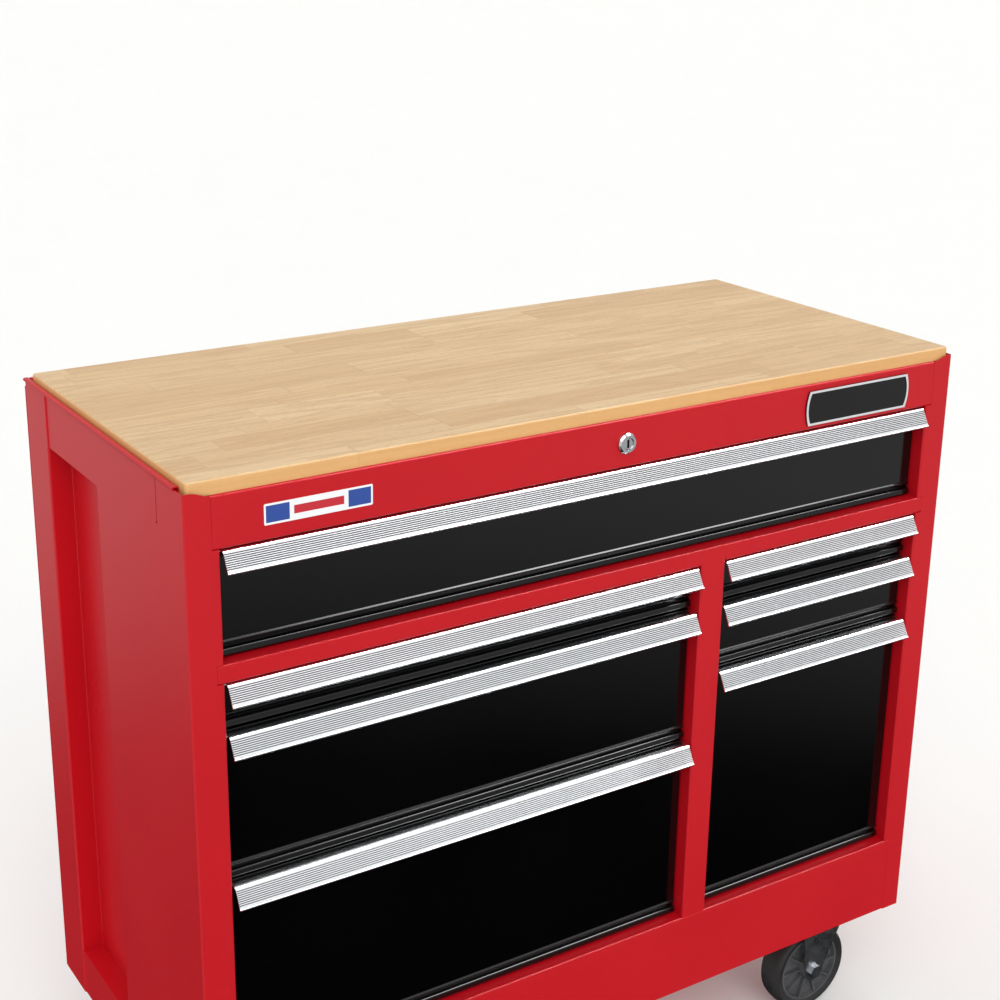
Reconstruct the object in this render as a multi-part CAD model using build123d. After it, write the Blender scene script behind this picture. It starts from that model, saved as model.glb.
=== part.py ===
"""Rolling workbench cabinet: sheet-steel carcass, solid-wood top, seven drawers on ball slides, four casters.

Millimetres, +Z up, X across the front, the front faces -Y.
The origin is on the floor, under the centre of the whole object's box.
"""
import math
import os

from build123d import *

# ---- driving dimensions -------------------------------------------------------------------------
WIDTH = 1029.0              # over the two side rims
DEPTH = 457.0               # carcass front face to back face
HEIGHT = 952.0              # floor to wood surface
CASTER_HEIGHT = 158.0       # floor to underside of the carcass
SHEET = 1.2                 # carcass and drawer steel
BEND = 1.8                  # bend radius on the middle of the sheet

WOOD_THICK = 15.7
WOOD_ABOVE_RIM = 7.0
WOOD_ROUND = 2.6
TOP_RAIL_HEIGHT = 55.8
TOP_SLOT_HEIGHT = 121.5
MID_RAIL_HEIGHT = 20.5
LEFT_SLOTS = (57.5, 172.0, 243.0)
RIGHT_SLOTS = (57.5, 86.0, 329.0)
STILE_WIDTH = 39.0
CENTRE_POST_LEFT = 127.0
CENTRE_POST_WIDTH = 35.5

PULL_REACH = 10.0           # how far a pull stands in front of the carcass
PULL_THICK = 1.8
PULL_DROP = 21.5            # from a pull's top edge down to its lip
PULL_REAR_LEG = 7.0         # the short leg behind the drawer face's top edge
PULL_KNEE = 2.6             # the pull's top bend, behind the carcass front
PULL_LIP_RADIUS = 1.4
PULL_GROOVES = 8
GROOVE_PITCH = 2.15
GROOVE_START = 4.2          # from the knee to the first groove
GROOVE_DEPTH = 0.5
GROOVE_HALF_WIDTH = 0.55
FACE_SETBACK = 17.0         # drawer face behind the carcass front
FACE_GAP = 2.0              # above and below a drawer face, in its opening
FACE_SIDE_GAP = 2.5
TRAY_FRONT = 28.0           # the tray's own front wall, behind the carcass front
TRAY_REAR = 420.0
TRAY_LIFT = 5.0             # the tray's floor above its opening's floor
TRAY_HEM = 7.0              # width of the flange folded in along a tray's top edge

# ---- places worked out from them ----------------------------------------------------------------
LEFT = -WIDTH / 2
FRONT = PULL_REACH - (DEPTH + PULL_REACH) / 2
BACK = FRONT + DEPTH
RIM_TOP = HEIGHT - WOOD_ABOVE_RIM
DECK_TOP = HEIGHT - WOOD_THICK
TOP_SLOT_TOP = DECK_TOP - TOP_RAIL_HEIGHT
MID_RAIL_TOP = TOP_SLOT_TOP - TOP_SLOT_HEIGHT
LOWER_SLOT_TOP = MID_RAIL_TOP - MID_RAIL_HEIGHT
APRON_TOP = LOWER_SLOT_TOP - sum(LEFT_SLOTS)
FLOOR_TOP = CASTER_HEIGHT + SHEET

# ---- carcass details, measured inwards from the rim's outer edge and back from the front face ----
RIM_WIDTH = 7.0
RIM_LIP = 4.0               # height of the rolled edge under the rim
RIM_START = 18.0            # the rim stops this far behind the front corner
STRIP_INSET = 1.5           # rear strip of the side, under the rim's outer edge
POST_INSET = 2.5
PANEL_INSET = 3.0
POST_SIDE = 66.0            # how far a corner post wraps round the side
CHANNEL_FRONT = 237.0
CHANNEL_REAR = 388.0
CHANNEL_DEPTH = 28.5
CHANNEL_BOTTOM = CASTER_HEIGHT + 60.0
CHANNEL_TOP = RIM_TOP - 65.0
SEAM_AT = 31.0              # rails meet the corner posts here, outside the opening edge
SEAM_GAP = 0.25
STILE_RETURN = 30.0
RAIL_RETURN = 40.0
SLIT_HEIGHT = 47.0
SLIT_WIDTH = 2.6
SLIT_FOOT = 2.0             # the slit widens into a small foot at its lower end
CORNER_RISE = 5.4           # the post's top edge climbs this much above the deck at the corner
POST_TENON = 4.0            # the centre post stands this far up into a notch in the mid rail
STIFFENER_WIDTH = 70.0      # the two channels pressed into the back
STIFFENER_DEPTH = 5.0
STIFFENER_CLEAR = (70.0, 90.0)   # from the back's lower edge and from the rim's top
SLIDE_POST_SIDE = 20.0
SLIDE_POST_PLACES = (104.6, CHANNEL_REAR + 3.6)
WING_START = POST_SIDE + 20.0    # the floor's side wings begin behind the corner posts
WING_RISE = 22.0
APRON_BACK_RISE = 26.0

# ---- wood screws, badge -------------------------------------------------------------------------
SCREW_RADIUS = 2.1
SCREW_HEAD_RADIUS = 4.5
SCREW_HEAD_HEIGHT = 2.2
SCREW_BITE = 10.0
BADGE_X = 355.0
BADGE_DROP = 29.3           # its middle, under the deck
BADGE_HALF = (79.0, 21.0)
BADGE_BOW = 4.0             # how far its ends bow outwards
BADGE_THICK = 2.6
BADGE_BORDER = 2.6
BADGE_RECESS = 1.0

# ---- slides: three nested channels, each side of every drawer ------------------------------------
SLIDE_START = 32.0
SLIDE_LENGTH = 395.0
SLIDE_DEPTH = 12.7
SLIDE_WALL = 1.2
SLIDE_HEIGHT = 35.0
SLIDE_SETBACK = 1.5         # the slide's wall face lies this far outside the opening edge
SLIDE_CENTRE = 35.0         # above the slot's floor, or half a shallow slot

# ---- lock ---------------------------------------------------------------------------------------
LOCK_X = 9.0
LOCK_Z = DECK_TOP - TOP_RAIL_HEIGHT / 2
LOCK_FIT = 0.05
BEZEL_RADIUS = 12.0
BEZEL_PROUD = 4.5
BEZEL_CHAMFER = 2.0
BARREL_RADIUS = 9.5
PLUG_RADIUS = 7.0
PLUG_PROUD = 3.3            # the plug's face sits a little inside the bezel's
KEYWAY_HALF = (1.5, 4.8)
KEYWAY_DEPTH = 10.0
CAM_START = 26.0            # the cam at the plug's back, behind the carcass front
CAM_THICK = 2.0
CAM_REACH = 17.0
CAM_HALF_WIDTH = 6.0
TAIL_RADIUS = 4.0
BOLT_START = 31.0           # the flat bolt's front face, behind the carcass front
BOLT_THICK = 2.5
BOLT_HALF_WIDTH = 11.0
BOLT_SLOT_HALF = 4.4

# ---- casters ------------------------------------------------------------------------------------
WHEEL_RADIUS = 63.5
WHEEL_WIDTH = 36.0
HUB_WIDTH = 42.0
AXLE_RADIUS = 6.0
RUNNING_FIT = 0.05
FORK_GAP = 44.0
FORK_SHEET = 2.5
PLATE_LENGTH = 105.0
PLATE_DEPTH = 80.0
PLATE_THICK = 3.0
TRAIL = 35.0                # swivel pin to wheel centre
CASTER_INSET_X = 75.0
CASTER_INSET_Y = 65.0
PLATE_HOLES = (41.0, 29.0)  # bolt holes each way from the plate's centre
BOLT_RADIUS = 4.0
BOLT_CLEARANCE = 0.3
BOLT_FLATS = 13.0
AXLE_FLATS = 17.0
AXLE_BOSS = 15.0            # half width of a fork leg round its axle
FORK_OUTER = FORK_GAP / 2 + FORK_SHEET
CROWN_TOP = CASTER_HEIGHT - 9.0
CROWN_GAP = 0.4             # under the raceway
RACEWAY_RADIUS = 26.0
PIN_RADIUS = 8.0
PIN_HEAD_RADIUS = 12.0
SWIVEL_CROWN = (-60.0, 26.0)     # how far the crown reaches each way from the swivel pin
RIGID_CROWN_HALF = 34.0
BRAKE_PIVOT = (-52.0, 137.0)     # from the swivel pin, and above the floor
BRAKE_PIN_RADIUS = 3.0
BRAKE_PIN_FIT = 0.06


# ---- helpers ------------------------------------------------------------------------------------
def save(shape, node):
    """Write one sub-part's STEP under its node name."""
    export_step(shape, f"parts/{node}.step")


def block(x0, x1, y0, y1, z0, z1):
    """A box from corner to corner, in the object's own frame."""
    centre = Pos((x0 + x1) / 2, (y0 + y1) / 2, (z0 + z1) / 2)
    return centre * Box(x1 - x0, y1 - y0, z1 - z0)


def rod(start, length, radius, axis):
    """A round bar from a start point along the X, Y or Z axis."""
    turn = {"x": Rot(0, 90, 0), "y": Rot(-90, 0, 0), "z": Rot(0, 0, 0)}[axis]
    bar = Cylinder(radius, length, align=(Align.CENTER, Align.CENTER, Align.MIN))
    return Pos(*start) * turn * bar


def hexagon_bar(start, length, across_flats, axis):
    """A hexagonal bar from a start point along the Y or Z axis."""
    turn = {"y": Rot(-90, 0, 0), "z": Rot(0, 0, 0)}[axis]
    profile = RegularPolygon(across_flats / 2, 6, major_radius=False)
    return Pos(*start) * turn * extrude(profile, amount=length)


def bent_strip(points, thickness, radii):
    """A sheet seen edge-on: a path along its middle with round bends, given its thickness."""
    count = len(points)
    path = [Vector(*point, 0) for point in points]
    if not isinstance(radii, (list, tuple)):
        radii = [radii] * (count - 2)
    ways = [(path[i + 1] - path[i]).normalized() for i in range(count - 1)]
    sides = {}
    for side in (1, -1):
        offset = side * thickness / 2
        edges = []
        pen = path[0] + Vector(-ways[0].Y, ways[0].X, 0) * offset
        for i in range(1, count - 1):
            way_in = ways[i - 1]
            way_out = ways[i]
            cross = way_in.X * way_out.Y - way_in.Y * way_out.X
            turn = math.atan2(cross, way_in.dot(way_out))
            sign = 1 if turn > 0 else -1
            radius = radii[i - 1]
            reach = radius * math.tan(abs(turn) / 2)
            normal_in = Vector(-way_in.Y, way_in.X, 0)
            normal_out = Vector(-way_out.Y, way_out.X, 0)
            centre = path[i] - way_in * reach + normal_in * (sign * radius)
            bend_start = path[i] - way_in * reach + normal_in * offset
            bend_end = path[i] + way_out * reach + normal_out * offset
            outward = (path[i] - centre).normalized()
            bend_middle = centre + outward * (radius - sign * offset)
            edges.append(Edge.make_line(pen, bend_start))
            edges.append(Edge.make_three_point_arc(bend_start, bend_middle, bend_end))
            pen = bend_end
        last = path[-1] + Vector(-ways[-1].Y, ways[-1].X, 0) * offset
        edges.append(Edge.make_line(pen, last))
        sides[side] = edges
    start_cap = Edge.make_line(sides[1][0] @ 0, sides[-1][0] @ 0)
    end_cap = Edge.make_line(sides[1][-1] @ 1, sides[-1][-1] @ 1)
    return Face(Wire(sides[1] + sides[-1] + [start_cap, end_cap]))


def sheet_up(points, z0, z1, radii=BEND, thickness=SHEET):
    """A bent sheet whose path lies in plan, standing from z0 to z1."""
    return Pos(0, 0, z0) * extrude(bent_strip(points, thickness, radii), amount=z1 - z0, dir=(0, 0, 1))


def sheet_across(points, x0, x1, radii=BEND, thickness=SHEET):
    """A bent sheet whose path lies in a side view, (y, z), running from x0 to x1."""
    face = Plane.YZ * bent_strip(points, thickness, radii)
    return Pos(x0, 0, 0) * extrude(face, amount=x1 - x0, dir=(1, 0, 0))


def sheet_back(points, y0, y1, radii=BEND, thickness=SHEET):
    """A bent sheet whose path lies in a front view, (x, z), running from y0 to y1."""
    face = Plane.XZ * bent_strip(points, thickness, radii)
    return Pos(0, y0, 0) * extrude(face, amount=y1 - y0, dir=(0, 1, 0))


def plan(points):
    """Turn (inset from the left rim edge, distance behind the front face) into X, Y."""
    return [(LEFT + x, FRONT + y) for x, y in points]


def on_right(shape):
    """The same piece on the right-hand side of the cabinet."""
    return mirror(shape, about=Plane.YZ)


# ---- carcass ------------------------------------------------------------------------------------
def side_panel():
    """Left side: flat sheet with a deep vertical channel, a proud rear strip and a rolled top rim."""
    half = SHEET / 2
    flat = PANEL_INSET + half
    strip = STRIP_INSET + half
    floor = CHANNEL_DEPTH + half
    nose = POST_SIDE + 0.3
    back = DEPTH - SHEET - half
    plain = [(flat, nose), (flat, CHANNEL_REAR + half), (strip, CHANNEL_REAR + half)]
    plain += [(strip, back), (25, back)]
    sunk = [(flat, nose), (flat, CHANNEL_FRONT - half), (floor, CHANNEL_FRONT - half)]
    sunk += [(floor, CHANNEL_REAR + half), (strip, CHANNEL_REAR + half), (strip, back), (25, back)]
    jog = 0.65
    lip_under = RIM_TOP - RIM_LIP
    panel = sheet_up(plan(sunk), CHANNEL_BOTTOM, CHANNEL_TOP)
    for z0, z1 in ((CASTER_HEIGHT, CHANNEL_BOTTOM), (CHANNEL_TOP, lip_under)):
        panel += sheet_up(plan(plain), z0, z1, radii=[jog, jog, BEND])
    for z in (CHANNEL_BOTTOM - SHEET, CHANNEL_TOP):
        panel += block(LEFT + PANEL_INSET, LEFT + CHANNEL_DEPTH + SHEET,
                       FRONT + CHANNEL_FRONT - SHEET, FRONT + CHANNEL_REAR + SHEET, z, z + SHEET)
    rim = [(4.1, lip_under - 3), (4.1, lip_under + half), (half, lip_under + half)]
    rim += [(half, RIM_TOP - half), (RIM_WIDTH - half, RIM_TOP - half)]
    rim += [(RIM_WIDTH - half, DECK_TOP - SHEET)]
    rim = [(LEFT + x, z) for x, z in rim]
    panel += sheet_back(rim, FRONT + RIM_START, BACK, radii=[1.0, 1.2, 1.5, 1.2])
    slit_back = FRONT + POST_SIDE + SLIT_WIDTH
    slit_bottom = lip_under - SLIT_HEIGHT
    panel -= block(LEFT, LEFT + 5, FRONT + POST_SIDE, slit_back, slit_bottom, lip_under - 0.2)
    panel -= block(LEFT, LEFT + 5, FRONT + POST_SIDE, slit_back + SLIT_FOOT, slit_bottom - SLIT_FOOT, slit_bottom)
    return panel


def corner_post():
    """Left front post: wraps the corner, returns into the openings, notched where the rails meet it."""
    half = SHEET / 2
    edge = POST_INSET + half
    path = [(edge, POST_SIDE), (edge, half), (STILE_WIDTH - half, half), (STILE_WIDTH - half, STILE_RETURN)]
    top = DECK_TOP + CORNER_RISE
    post = sheet_up(plan(path), CASTER_HEIGHT, top)
    notch_left = LEFT + SEAM_AT
    notch_right = LEFT + STILE_WIDTH + 1
    for z0, z1 in ((CASTER_HEIGHT - 1, APRON_TOP), (LOWER_SLOT_TOP, MID_RAIL_TOP), (TOP_SLOT_TOP, top + 1)):
        post -= block(notch_left, notch_right, FRONT - 1, FRONT + STILE_RETURN + 1, z0, z1)
    ramp = Polyline((LEFT + 9, top + 1), (LEFT + 9, top))
    ramp += Spline((LEFT + 9, top), (LEFT + SEAM_AT + 1, DECK_TOP), tangents=((1, 0), (1, 0)))
    ramp += Polyline((LEFT + SEAM_AT + 1, DECK_TOP), (LEFT + SEAM_AT + 1, top + 1), (LEFT + 9, top + 1))
    above_ramp = extrude(Plane.XZ * make_face(ramp), amount=12, both=True)
    post -= Pos(0, FRONT, 0) * above_ramp
    post -= block(LEFT, LEFT + 12, FRONT + RIM_START - 0.4, FRONT + POST_SIDE + 20,
                  RIM_TOP - RIM_LIP - 0.2, top + 1)
    post -= block(LEFT + 3.4, LEFT + 12, FRONT + RIM_START - 0.4, FRONT + POST_SIDE + 20,
                  RIM_TOP - RIM_LIP - 3.4, top + 1)
    return post


def back_panel():
    """Rear sheet with two pressed channels and a folded top edge."""
    inset = STRIP_INSET
    under_rim = DECK_TOP - SHEET
    sheet = block(LEFT + inset, -LEFT - inset, BACK - SHEET, BACK, CASTER_HEIGHT, under_rim)
    z0 = CASTER_HEIGHT + STIFFENER_CLEAR[0]
    z1 = RIM_TOP - STIFFENER_CLEAR[1]
    for x in (-WIDTH / 5, WIDTH / 5):
        x0 = x - STIFFENER_WIDTH / 2
        x1 = x + STIFFENER_WIDTH / 2
        pressed = BACK - STIFFENER_DEPTH
        sheet += block(x0, x1, pressed, BACK - SHEET, z0, z1)
        sheet -= block(x0 + SHEET, x1 - SHEET, pressed + SHEET, BACK + 1, z0 + SHEET, z1 - SHEET)
    fold = [(BACK - SHEET / 2, under_rim - 1), (BACK - SHEET / 2, RIM_TOP - SHEET / 2)]
    fold += [(BACK - 7.4, RIM_TOP - SHEET / 2), (BACK - 7.4, DECK_TOP - SHEET)]
    sheet += sheet_across(fold, LEFT + RIM_WIDTH + 0.6, -LEFT - RIM_WIDTH - 0.6, radii=1.2)
    return sheet


def bottom_pan():
    """Floor folded up into the front apron, with a back flange and two side wings."""
    half = SHEET / 2
    x0 = LEFT + SEAM_AT + SEAM_GAP
    path = [(FRONT + RAIL_RETURN, APRON_TOP - half), (FRONT + half, APRON_TOP - half)]
    path += [(FRONT + half, CASTER_HEIGHT + half), (BACK - 4, CASTER_HEIGHT + half)]
    path += [(BACK - 4, CASTER_HEIGHT + APRON_BACK_RISE)]
    pan = sheet_across(path, x0, -x0)
    wing_x = LEFT + PANEL_INSET + SHEET + 0.2
    for sign in (1, -1):
        xs = sorted((sign * wing_x, sign * (x0 + 1)))
        pan += block(*xs, FRONT + WING_START, BACK - 4, CASTER_HEIGHT, FLOOR_TOP)
        xs = sorted((sign * wing_x, sign * (wing_x + SHEET)))
        pan += block(*xs, FRONT + WING_START, BACK - 4, CASTER_HEIGHT, CASTER_HEIGHT + WING_RISE)
    for x, y in caster_centres():
        for bolt_x, bolt_y in bolt_places(x, y):
            pan -= rod((bolt_x, bolt_y, CASTER_HEIGHT - 1), 4, BOLT_RADIUS + BOLT_CLEARANCE, "z")
    return pan


def top_rail():
    """Front rail over the top drawer, with the lock hole."""
    half = SHEET / 2
    x0 = LEFT + SEAM_AT + SEAM_GAP
    path = [(FRONT + STILE_RETURN, TOP_SLOT_TOP + half), (FRONT + half, TOP_SLOT_TOP + half)]
    path += [(FRONT + half, DECK_TOP - half), (FRONT + 19.5, DECK_TOP - half)]
    rail = sheet_across(path, x0, -x0, radii=[BEND, 2.6])
    return rail - rod((LOCK_X, FRONT - 1, LOCK_Z), 5, BARREL_RADIUS + 0.2, "y")


def mid_rail():
    """Front rail between the top drawer and the two columns, notched where the centre post meets it."""
    half = SHEET / 2
    x0 = LEFT + SEAM_AT + SEAM_GAP
    path = [(FRONT + RAIL_RETURN, MID_RAIL_TOP - half), (FRONT + half, MID_RAIL_TOP - half)]
    path += [(FRONT + half, LOWER_SLOT_TOP + half), (FRONT + RAIL_RETURN, LOWER_SLOT_TOP + half)]
    notch = block(CENTRE_POST_LEFT, CENTRE_POST_LEFT + CENTRE_POST_WIDTH, FRONT - 1, FRONT + RAIL_RETURN + 1,
                  LOWER_SLOT_TOP - 1, LOWER_SLOT_TOP + POST_TENON)
    return sheet_across(path, x0, -x0) - notch


def centre_post():
    """Post between the columns, whose returns run back as the two walls that carry slides."""
    half = SHEET / 2
    x0 = CENTRE_POST_LEFT
    x1 = CENTRE_POST_LEFT + CENTRE_POST_WIDTH
    wall = SLIDE_SETBACK + half
    rear = FRONT + SLIDE_START + SLIDE_LENGTH + 4
    jog_y = FRONT + 27
    path = [(x0 + wall, rear), (x0 + wall, jog_y), (x0 + half, jog_y), (x0 + half, FRONT + half)]
    path += [(x1 - half, FRONT + half), (x1 - half, jog_y), (x1 - wall, jog_y), (x1 - wall, rear)]
    radii = [0.65, 0.65, BEND, BEND, 0.65, 0.65]
    post = sheet_up(path, APRON_TOP, LOWER_SLOT_TOP + POST_TENON, radii=radii)
    for x in (x0 + SLIDE_SETBACK, x1 - SLIDE_SETBACK - SHEET):
        post += block(x, x + SHEET, FRONT + RAIL_RETURN + 1, rear, FLOOR_TOP, APRON_TOP)
    return post


def slide_posts():
    """Four channel uprights that carry the outer slides along the two sides."""
    posts = []
    x_face = LEFT + STILE_WIDTH - SLIDE_SETBACK
    for place in SLIDE_POST_PLACES:
        y0 = FRONT + place
        y1 = y0 + SLIDE_POST_SIDE
        path = [(LEFT + 6.4, y0), (x_face - SHEET / 2, y0), (x_face - SHEET / 2, y1), (LEFT + 6.4, y1)]
        post = sheet_up(path, FLOOR_TOP, DECK_TOP - SHEET)
        posts += [post, on_right(post)]
    return Compound(children=posts)


def top_deck():
    """Flat sheet under the wood, between the rims."""
    inset = RIM_WIDTH
    deck = block(LEFT + inset, -LEFT - inset, FRONT + 20, BACK - 8, DECK_TOP - SHEET, DECK_TOP)
    for x, y in wood_screw_places():
        deck -= rod((x, y, DECK_TOP - 3), 6, SCREW_RADIUS + 0.5, "z")
    return deck


def wood_screw_places():
    """Plan positions of the screws that hold the wood down."""
    return [(x, y) for x in (-440.0, -150.0, 150.0, 440.0) for y in (FRONT + 70, BACK - 60)]


def wood_top():
    """Solid-wood board with its edges and corners eased."""
    x0 = LEFT + RIM_WIDTH + 0.8
    board = block(x0, -x0, FRONT + 3, BACK - 10, DECK_TOP, HEIGHT)
    board = fillet(board.edges().filter_by(Axis.Z), WOOD_ROUND + 1)
    return fillet(board.faces().sort_by(Axis.Z)[-1].edges(), WOOD_ROUND)


def wood_screws():
    """Pan-head screws driven up through the deck."""
    screws = []
    for x, y in wood_screw_places():
        under = DECK_TOP - SHEET
        screw = rod((x, y, under - SCREW_HEAD_HEIGHT), SCREW_HEAD_HEIGHT, SCREW_HEAD_RADIUS, "z")
        screw += rod((x, y, under - 0.2), SHEET + SCREW_BITE, SCREW_RADIUS, "z")
        screws.append(screw)
    return Compound(children=screws)


def nameplate():
    """Blank badge: a shallow tray-shaped plate with bowed ends and a raised border."""

    def outline(inset):
        w = BADGE_HALF[0] - inset
        h = BADGE_HALF[1] - inset
        left = ThreePointArc((-w, -h), (-w - BADGE_BOW, 0), (-w, h))
        right = ThreePointArc((w, h), (w + BADGE_BOW, 0), (w, -h))
        return make_face(left + Line((-w, h), (w, h)) + right + Line((w, -h), (-w, -h)))

    plate = extrude(Plane.XZ * outline(0), amount=BADGE_THICK, dir=(0, -1, 0))
    field = extrude(Plane.XZ * outline(BADGE_BORDER), amount=BADGE_THICK, dir=(0, -1, 0))
    recess = Pos(0, BADGE_RECESS - BADGE_THICK, 0) * field
    return Pos(BADGE_X, FRONT, DECK_TOP - BADGE_DROP) * (plate - recess)


# ---- slides -------------------------------------------------------------------------------------
def channel(x_wall, web, tip, half_height, z, side):
    """One slide channel: its web and tip are measured from the wall face towards the drawer."""
    xs = [x_wall + side * value for value in (tip, web + SLIDE_WALL / 2, tip)]
    if web > tip:
        xs[1] = x_wall + side * (web - SLIDE_WALL / 2)
    edge = half_height - SLIDE_WALL / 2
    path = [(xs[0], z + edge), (xs[1], z + edge), (xs[1], z - edge), (xs[2], z - edge)]
    y0 = FRONT + SLIDE_START
    return sheet_back(path, y0, y0 + SLIDE_LENGTH, radii=1.0, thickness=SLIDE_WALL)


def slide_sides(slot):
    """Wall face and inward direction of the two slides beside a slot."""
    return ((slot["x0"] - SLIDE_SETBACK, 1), (slot["x1"] + SLIDE_SETBACK, -1))


def slide_height_of(slot):
    """Height of a slot's slide centre line."""
    return slot["bottom"] + min(SLIDE_CENTRE, (slot["top"] - slot["bottom"]) / 2)


def slide_pair(slot, web, tip, half_height):
    """The same channel on both sides of a drawer."""
    z = slide_height_of(slot)
    return [channel(x, web, tip, half_height, z, side) for x, side in slide_sides(slot)]


# ---- drawers ------------------------------------------------------------------------------------
def drawer_slots():
    """Every drawer's opening, from the top drawer down each column."""
    left_edge = LEFT + STILE_WIDTH
    right_edge = -left_edge
    post_right = CENTRE_POST_LEFT + CENTRE_POST_WIDTH
    slots = [{"name": "top", "x0": left_edge, "x1": right_edge, "top": TOP_SLOT_TOP, "bottom": MID_RAIL_TOP}]
    columns = (("left", left_edge, CENTRE_POST_LEFT, LEFT_SLOTS), ("right", post_right, right_edge, RIGHT_SLOTS))
    for column, x0, x1, heights in columns:
        top = LOWER_SLOT_TOP
        for number, height in enumerate(heights, start=1):
            slots.append({"name": f"{column}_{number}", "x0": x0, "x1": x1, "top": top, "bottom": top - height})
            top -= height
    return slots


def drawer_tray(slot):
    """Open tray with a beaded face panel folded round its front."""
    t = SHEET
    half = t / 2
    face_x0 = slot["x0"] + FACE_SIDE_GAP
    face_x1 = slot["x1"] - FACE_SIDE_GAP
    top = slot["top"] - FACE_GAP
    base = slot["bottom"] + FACE_GAP
    y = FRONT + FACE_SETBACK + half
    fold = y + 10
    face_path = [(fold, top - half), (y, top - half), (y, base + 16.5), (y - 1.8, base + 14.5)]
    face_path += [(y + 2.6, base + 9.0), (y - 2.4, base + 6.6), (y - 2.9, base + half), (y + 4, base + half)]
    tray = sheet_across(face_path, face_x0, face_x1, radii=[1.2, 1.2, 0.8, 0.9, 1.4, 1.0])
    front_wall = FRONT + TRAY_FRONT
    for x in (face_x0, face_x1 - t):
        tray += block(x, x + t, y, fold, base + 17, top - half)
    x0 = slot["x0"] - SLIDE_SETBACK + SLIDE_DEPTH
    x1 = slot["x1"] + SLIDE_SETBACK - SLIDE_DEPTH
    floor = slot["bottom"] + TRAY_LIFT
    rear = FRONT + TRAY_REAR
    side_top = slot["top"] - max(12, min(26, (slot["top"] - slot["bottom"]) * 0.16))
    tray += block(x0, x1, front_wall, rear, floor, floor + t)
    tray += block(x0, x1, front_wall, front_wall + t, floor, top - half)
    tray += block(face_x0, face_x1, fold - t, front_wall + t, top - t, top)
    tray += block(x0, x1, rear - t, rear, floor, side_top)
    for side_x in (x0, x1 - t):
        tray += block(side_x, side_x + t, front_wall, rear, floor, side_top)
    for hem_x in (x0, x1 - TRAY_HEM):
        tray += block(hem_x, hem_x + TRAY_HEM, front_wall, rear, side_top - t, side_top)
    tray += block(x0, x1, rear - TRAY_HEM, rear, side_top - t, side_top)
    return tray


def drawer_pull(slot):
    """Ribbed hollow-backed extrusion over the top edge of a drawer face."""
    x0 = slot["x0"] + FACE_SIDE_GAP + 1
    x1 = slot["x1"] - FACE_SIDE_GAP - 1
    top = slot["top"] - FACE_GAP
    half = PULL_THICK / 2
    leg_y = FRONT + FACE_SETBACK - half
    lip = (FRONT - PULL_REACH + PULL_LIP_RADIUS, top - PULL_DROP)
    knee = (FRONT + PULL_KNEE, top - half)
    path = [(leg_y, top - PULL_REAR_LEG), (leg_y, top - half), knee, lip]
    pull = sheet_across(path, x0, x1, radii=[1.2, 5.2], thickness=PULL_THICK)
    pull += rod((x0, *lip), x1 - x0, PULL_LIP_RADIUS, "x")
    run = math.hypot(lip[0] - knee[0], lip[1] - knee[1])
    along = ((lip[0] - knee[0]) / run, (lip[1] - knee[1]) / run)
    outward = (along[1], -along[0])
    for number in range(PULL_GROOVES):
        distance = GROOVE_START + number * GROOVE_PITCH
        middle = (knee[0] + along[0] * distance, knee[1] + along[1] * distance)
        surface = (middle[0] + outward[0] * (half + 0.01), middle[1] + outward[1] * (half + 0.01))
        floor = half - GROOVE_DEPTH
        deep = (middle[0] + outward[0] * floor, middle[1] + outward[1] * floor)
        side = (along[0] * GROOVE_HALF_WIDTH, along[1] * GROOVE_HALF_WIDTH)
        corners = [(surface[0] + side[0], surface[1] + side[1]), deep]
        corners += [(surface[0] - side[0], surface[1] - side[1])]
        notch = Plane.YZ * make_face(Polyline(*corners, close=True))
        pull -= Pos(x0 - 1, 0, 0) * extrude(notch, amount=x1 - x0 + 2, dir=(1, 0, 0))
    return pull


# ---- lock ---------------------------------------------------------------------------------------
def lock_housing():
    """Round bezel and barrel through the top rail."""
    bezel = rod((LOCK_X, FRONT - BEZEL_PROUD, LOCK_Z), BEZEL_PROUD, BEZEL_RADIUS, "y")
    bezel = chamfer(bezel.faces().sort_by(Axis.Y)[0].edges(), BEZEL_CHAMFER)
    barrel = rod((LOCK_X, FRONT - 0.5, LOCK_Z), CAM_START - 1.5, BARREL_RADIUS, "y")
    bore = rod((LOCK_X, FRONT - BEZEL_PROUD - 1, LOCK_Z), CAM_START + 6, PLUG_RADIUS + LOCK_FIT, "y")
    return bezel + barrel - bore


def lock_plug():
    """Key plug with its keyway, and the cam and tail at its back."""
    face = FRONT - PLUG_PROUD
    plug = rod((LOCK_X, face, LOCK_Z), CAM_START + 1 + PLUG_PROUD, PLUG_RADIUS, "y")
    plug = chamfer(plug.faces().sort_by(Axis.Y)[0].edges(), 0.8)
    half_width, half_height = KEYWAY_HALF
    plug -= block(LOCK_X - half_width, LOCK_X + half_width, face - 1, face + KEYWAY_DEPTH,
                  LOCK_Z - half_height, LOCK_Z + half_height)
    plug += block(LOCK_X - CAM_HALF_WIDTH, LOCK_X + CAM_HALF_WIDTH, FRONT + CAM_START,
                  FRONT + CAM_START + CAM_THICK, LOCK_Z - CAM_REACH, LOCK_Z)
    return plug + rod((LOCK_X, FRONT + CAM_START + 1, LOCK_Z), BOLT_START - CAM_START + 4, TAIL_RADIUS, "y")


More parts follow.
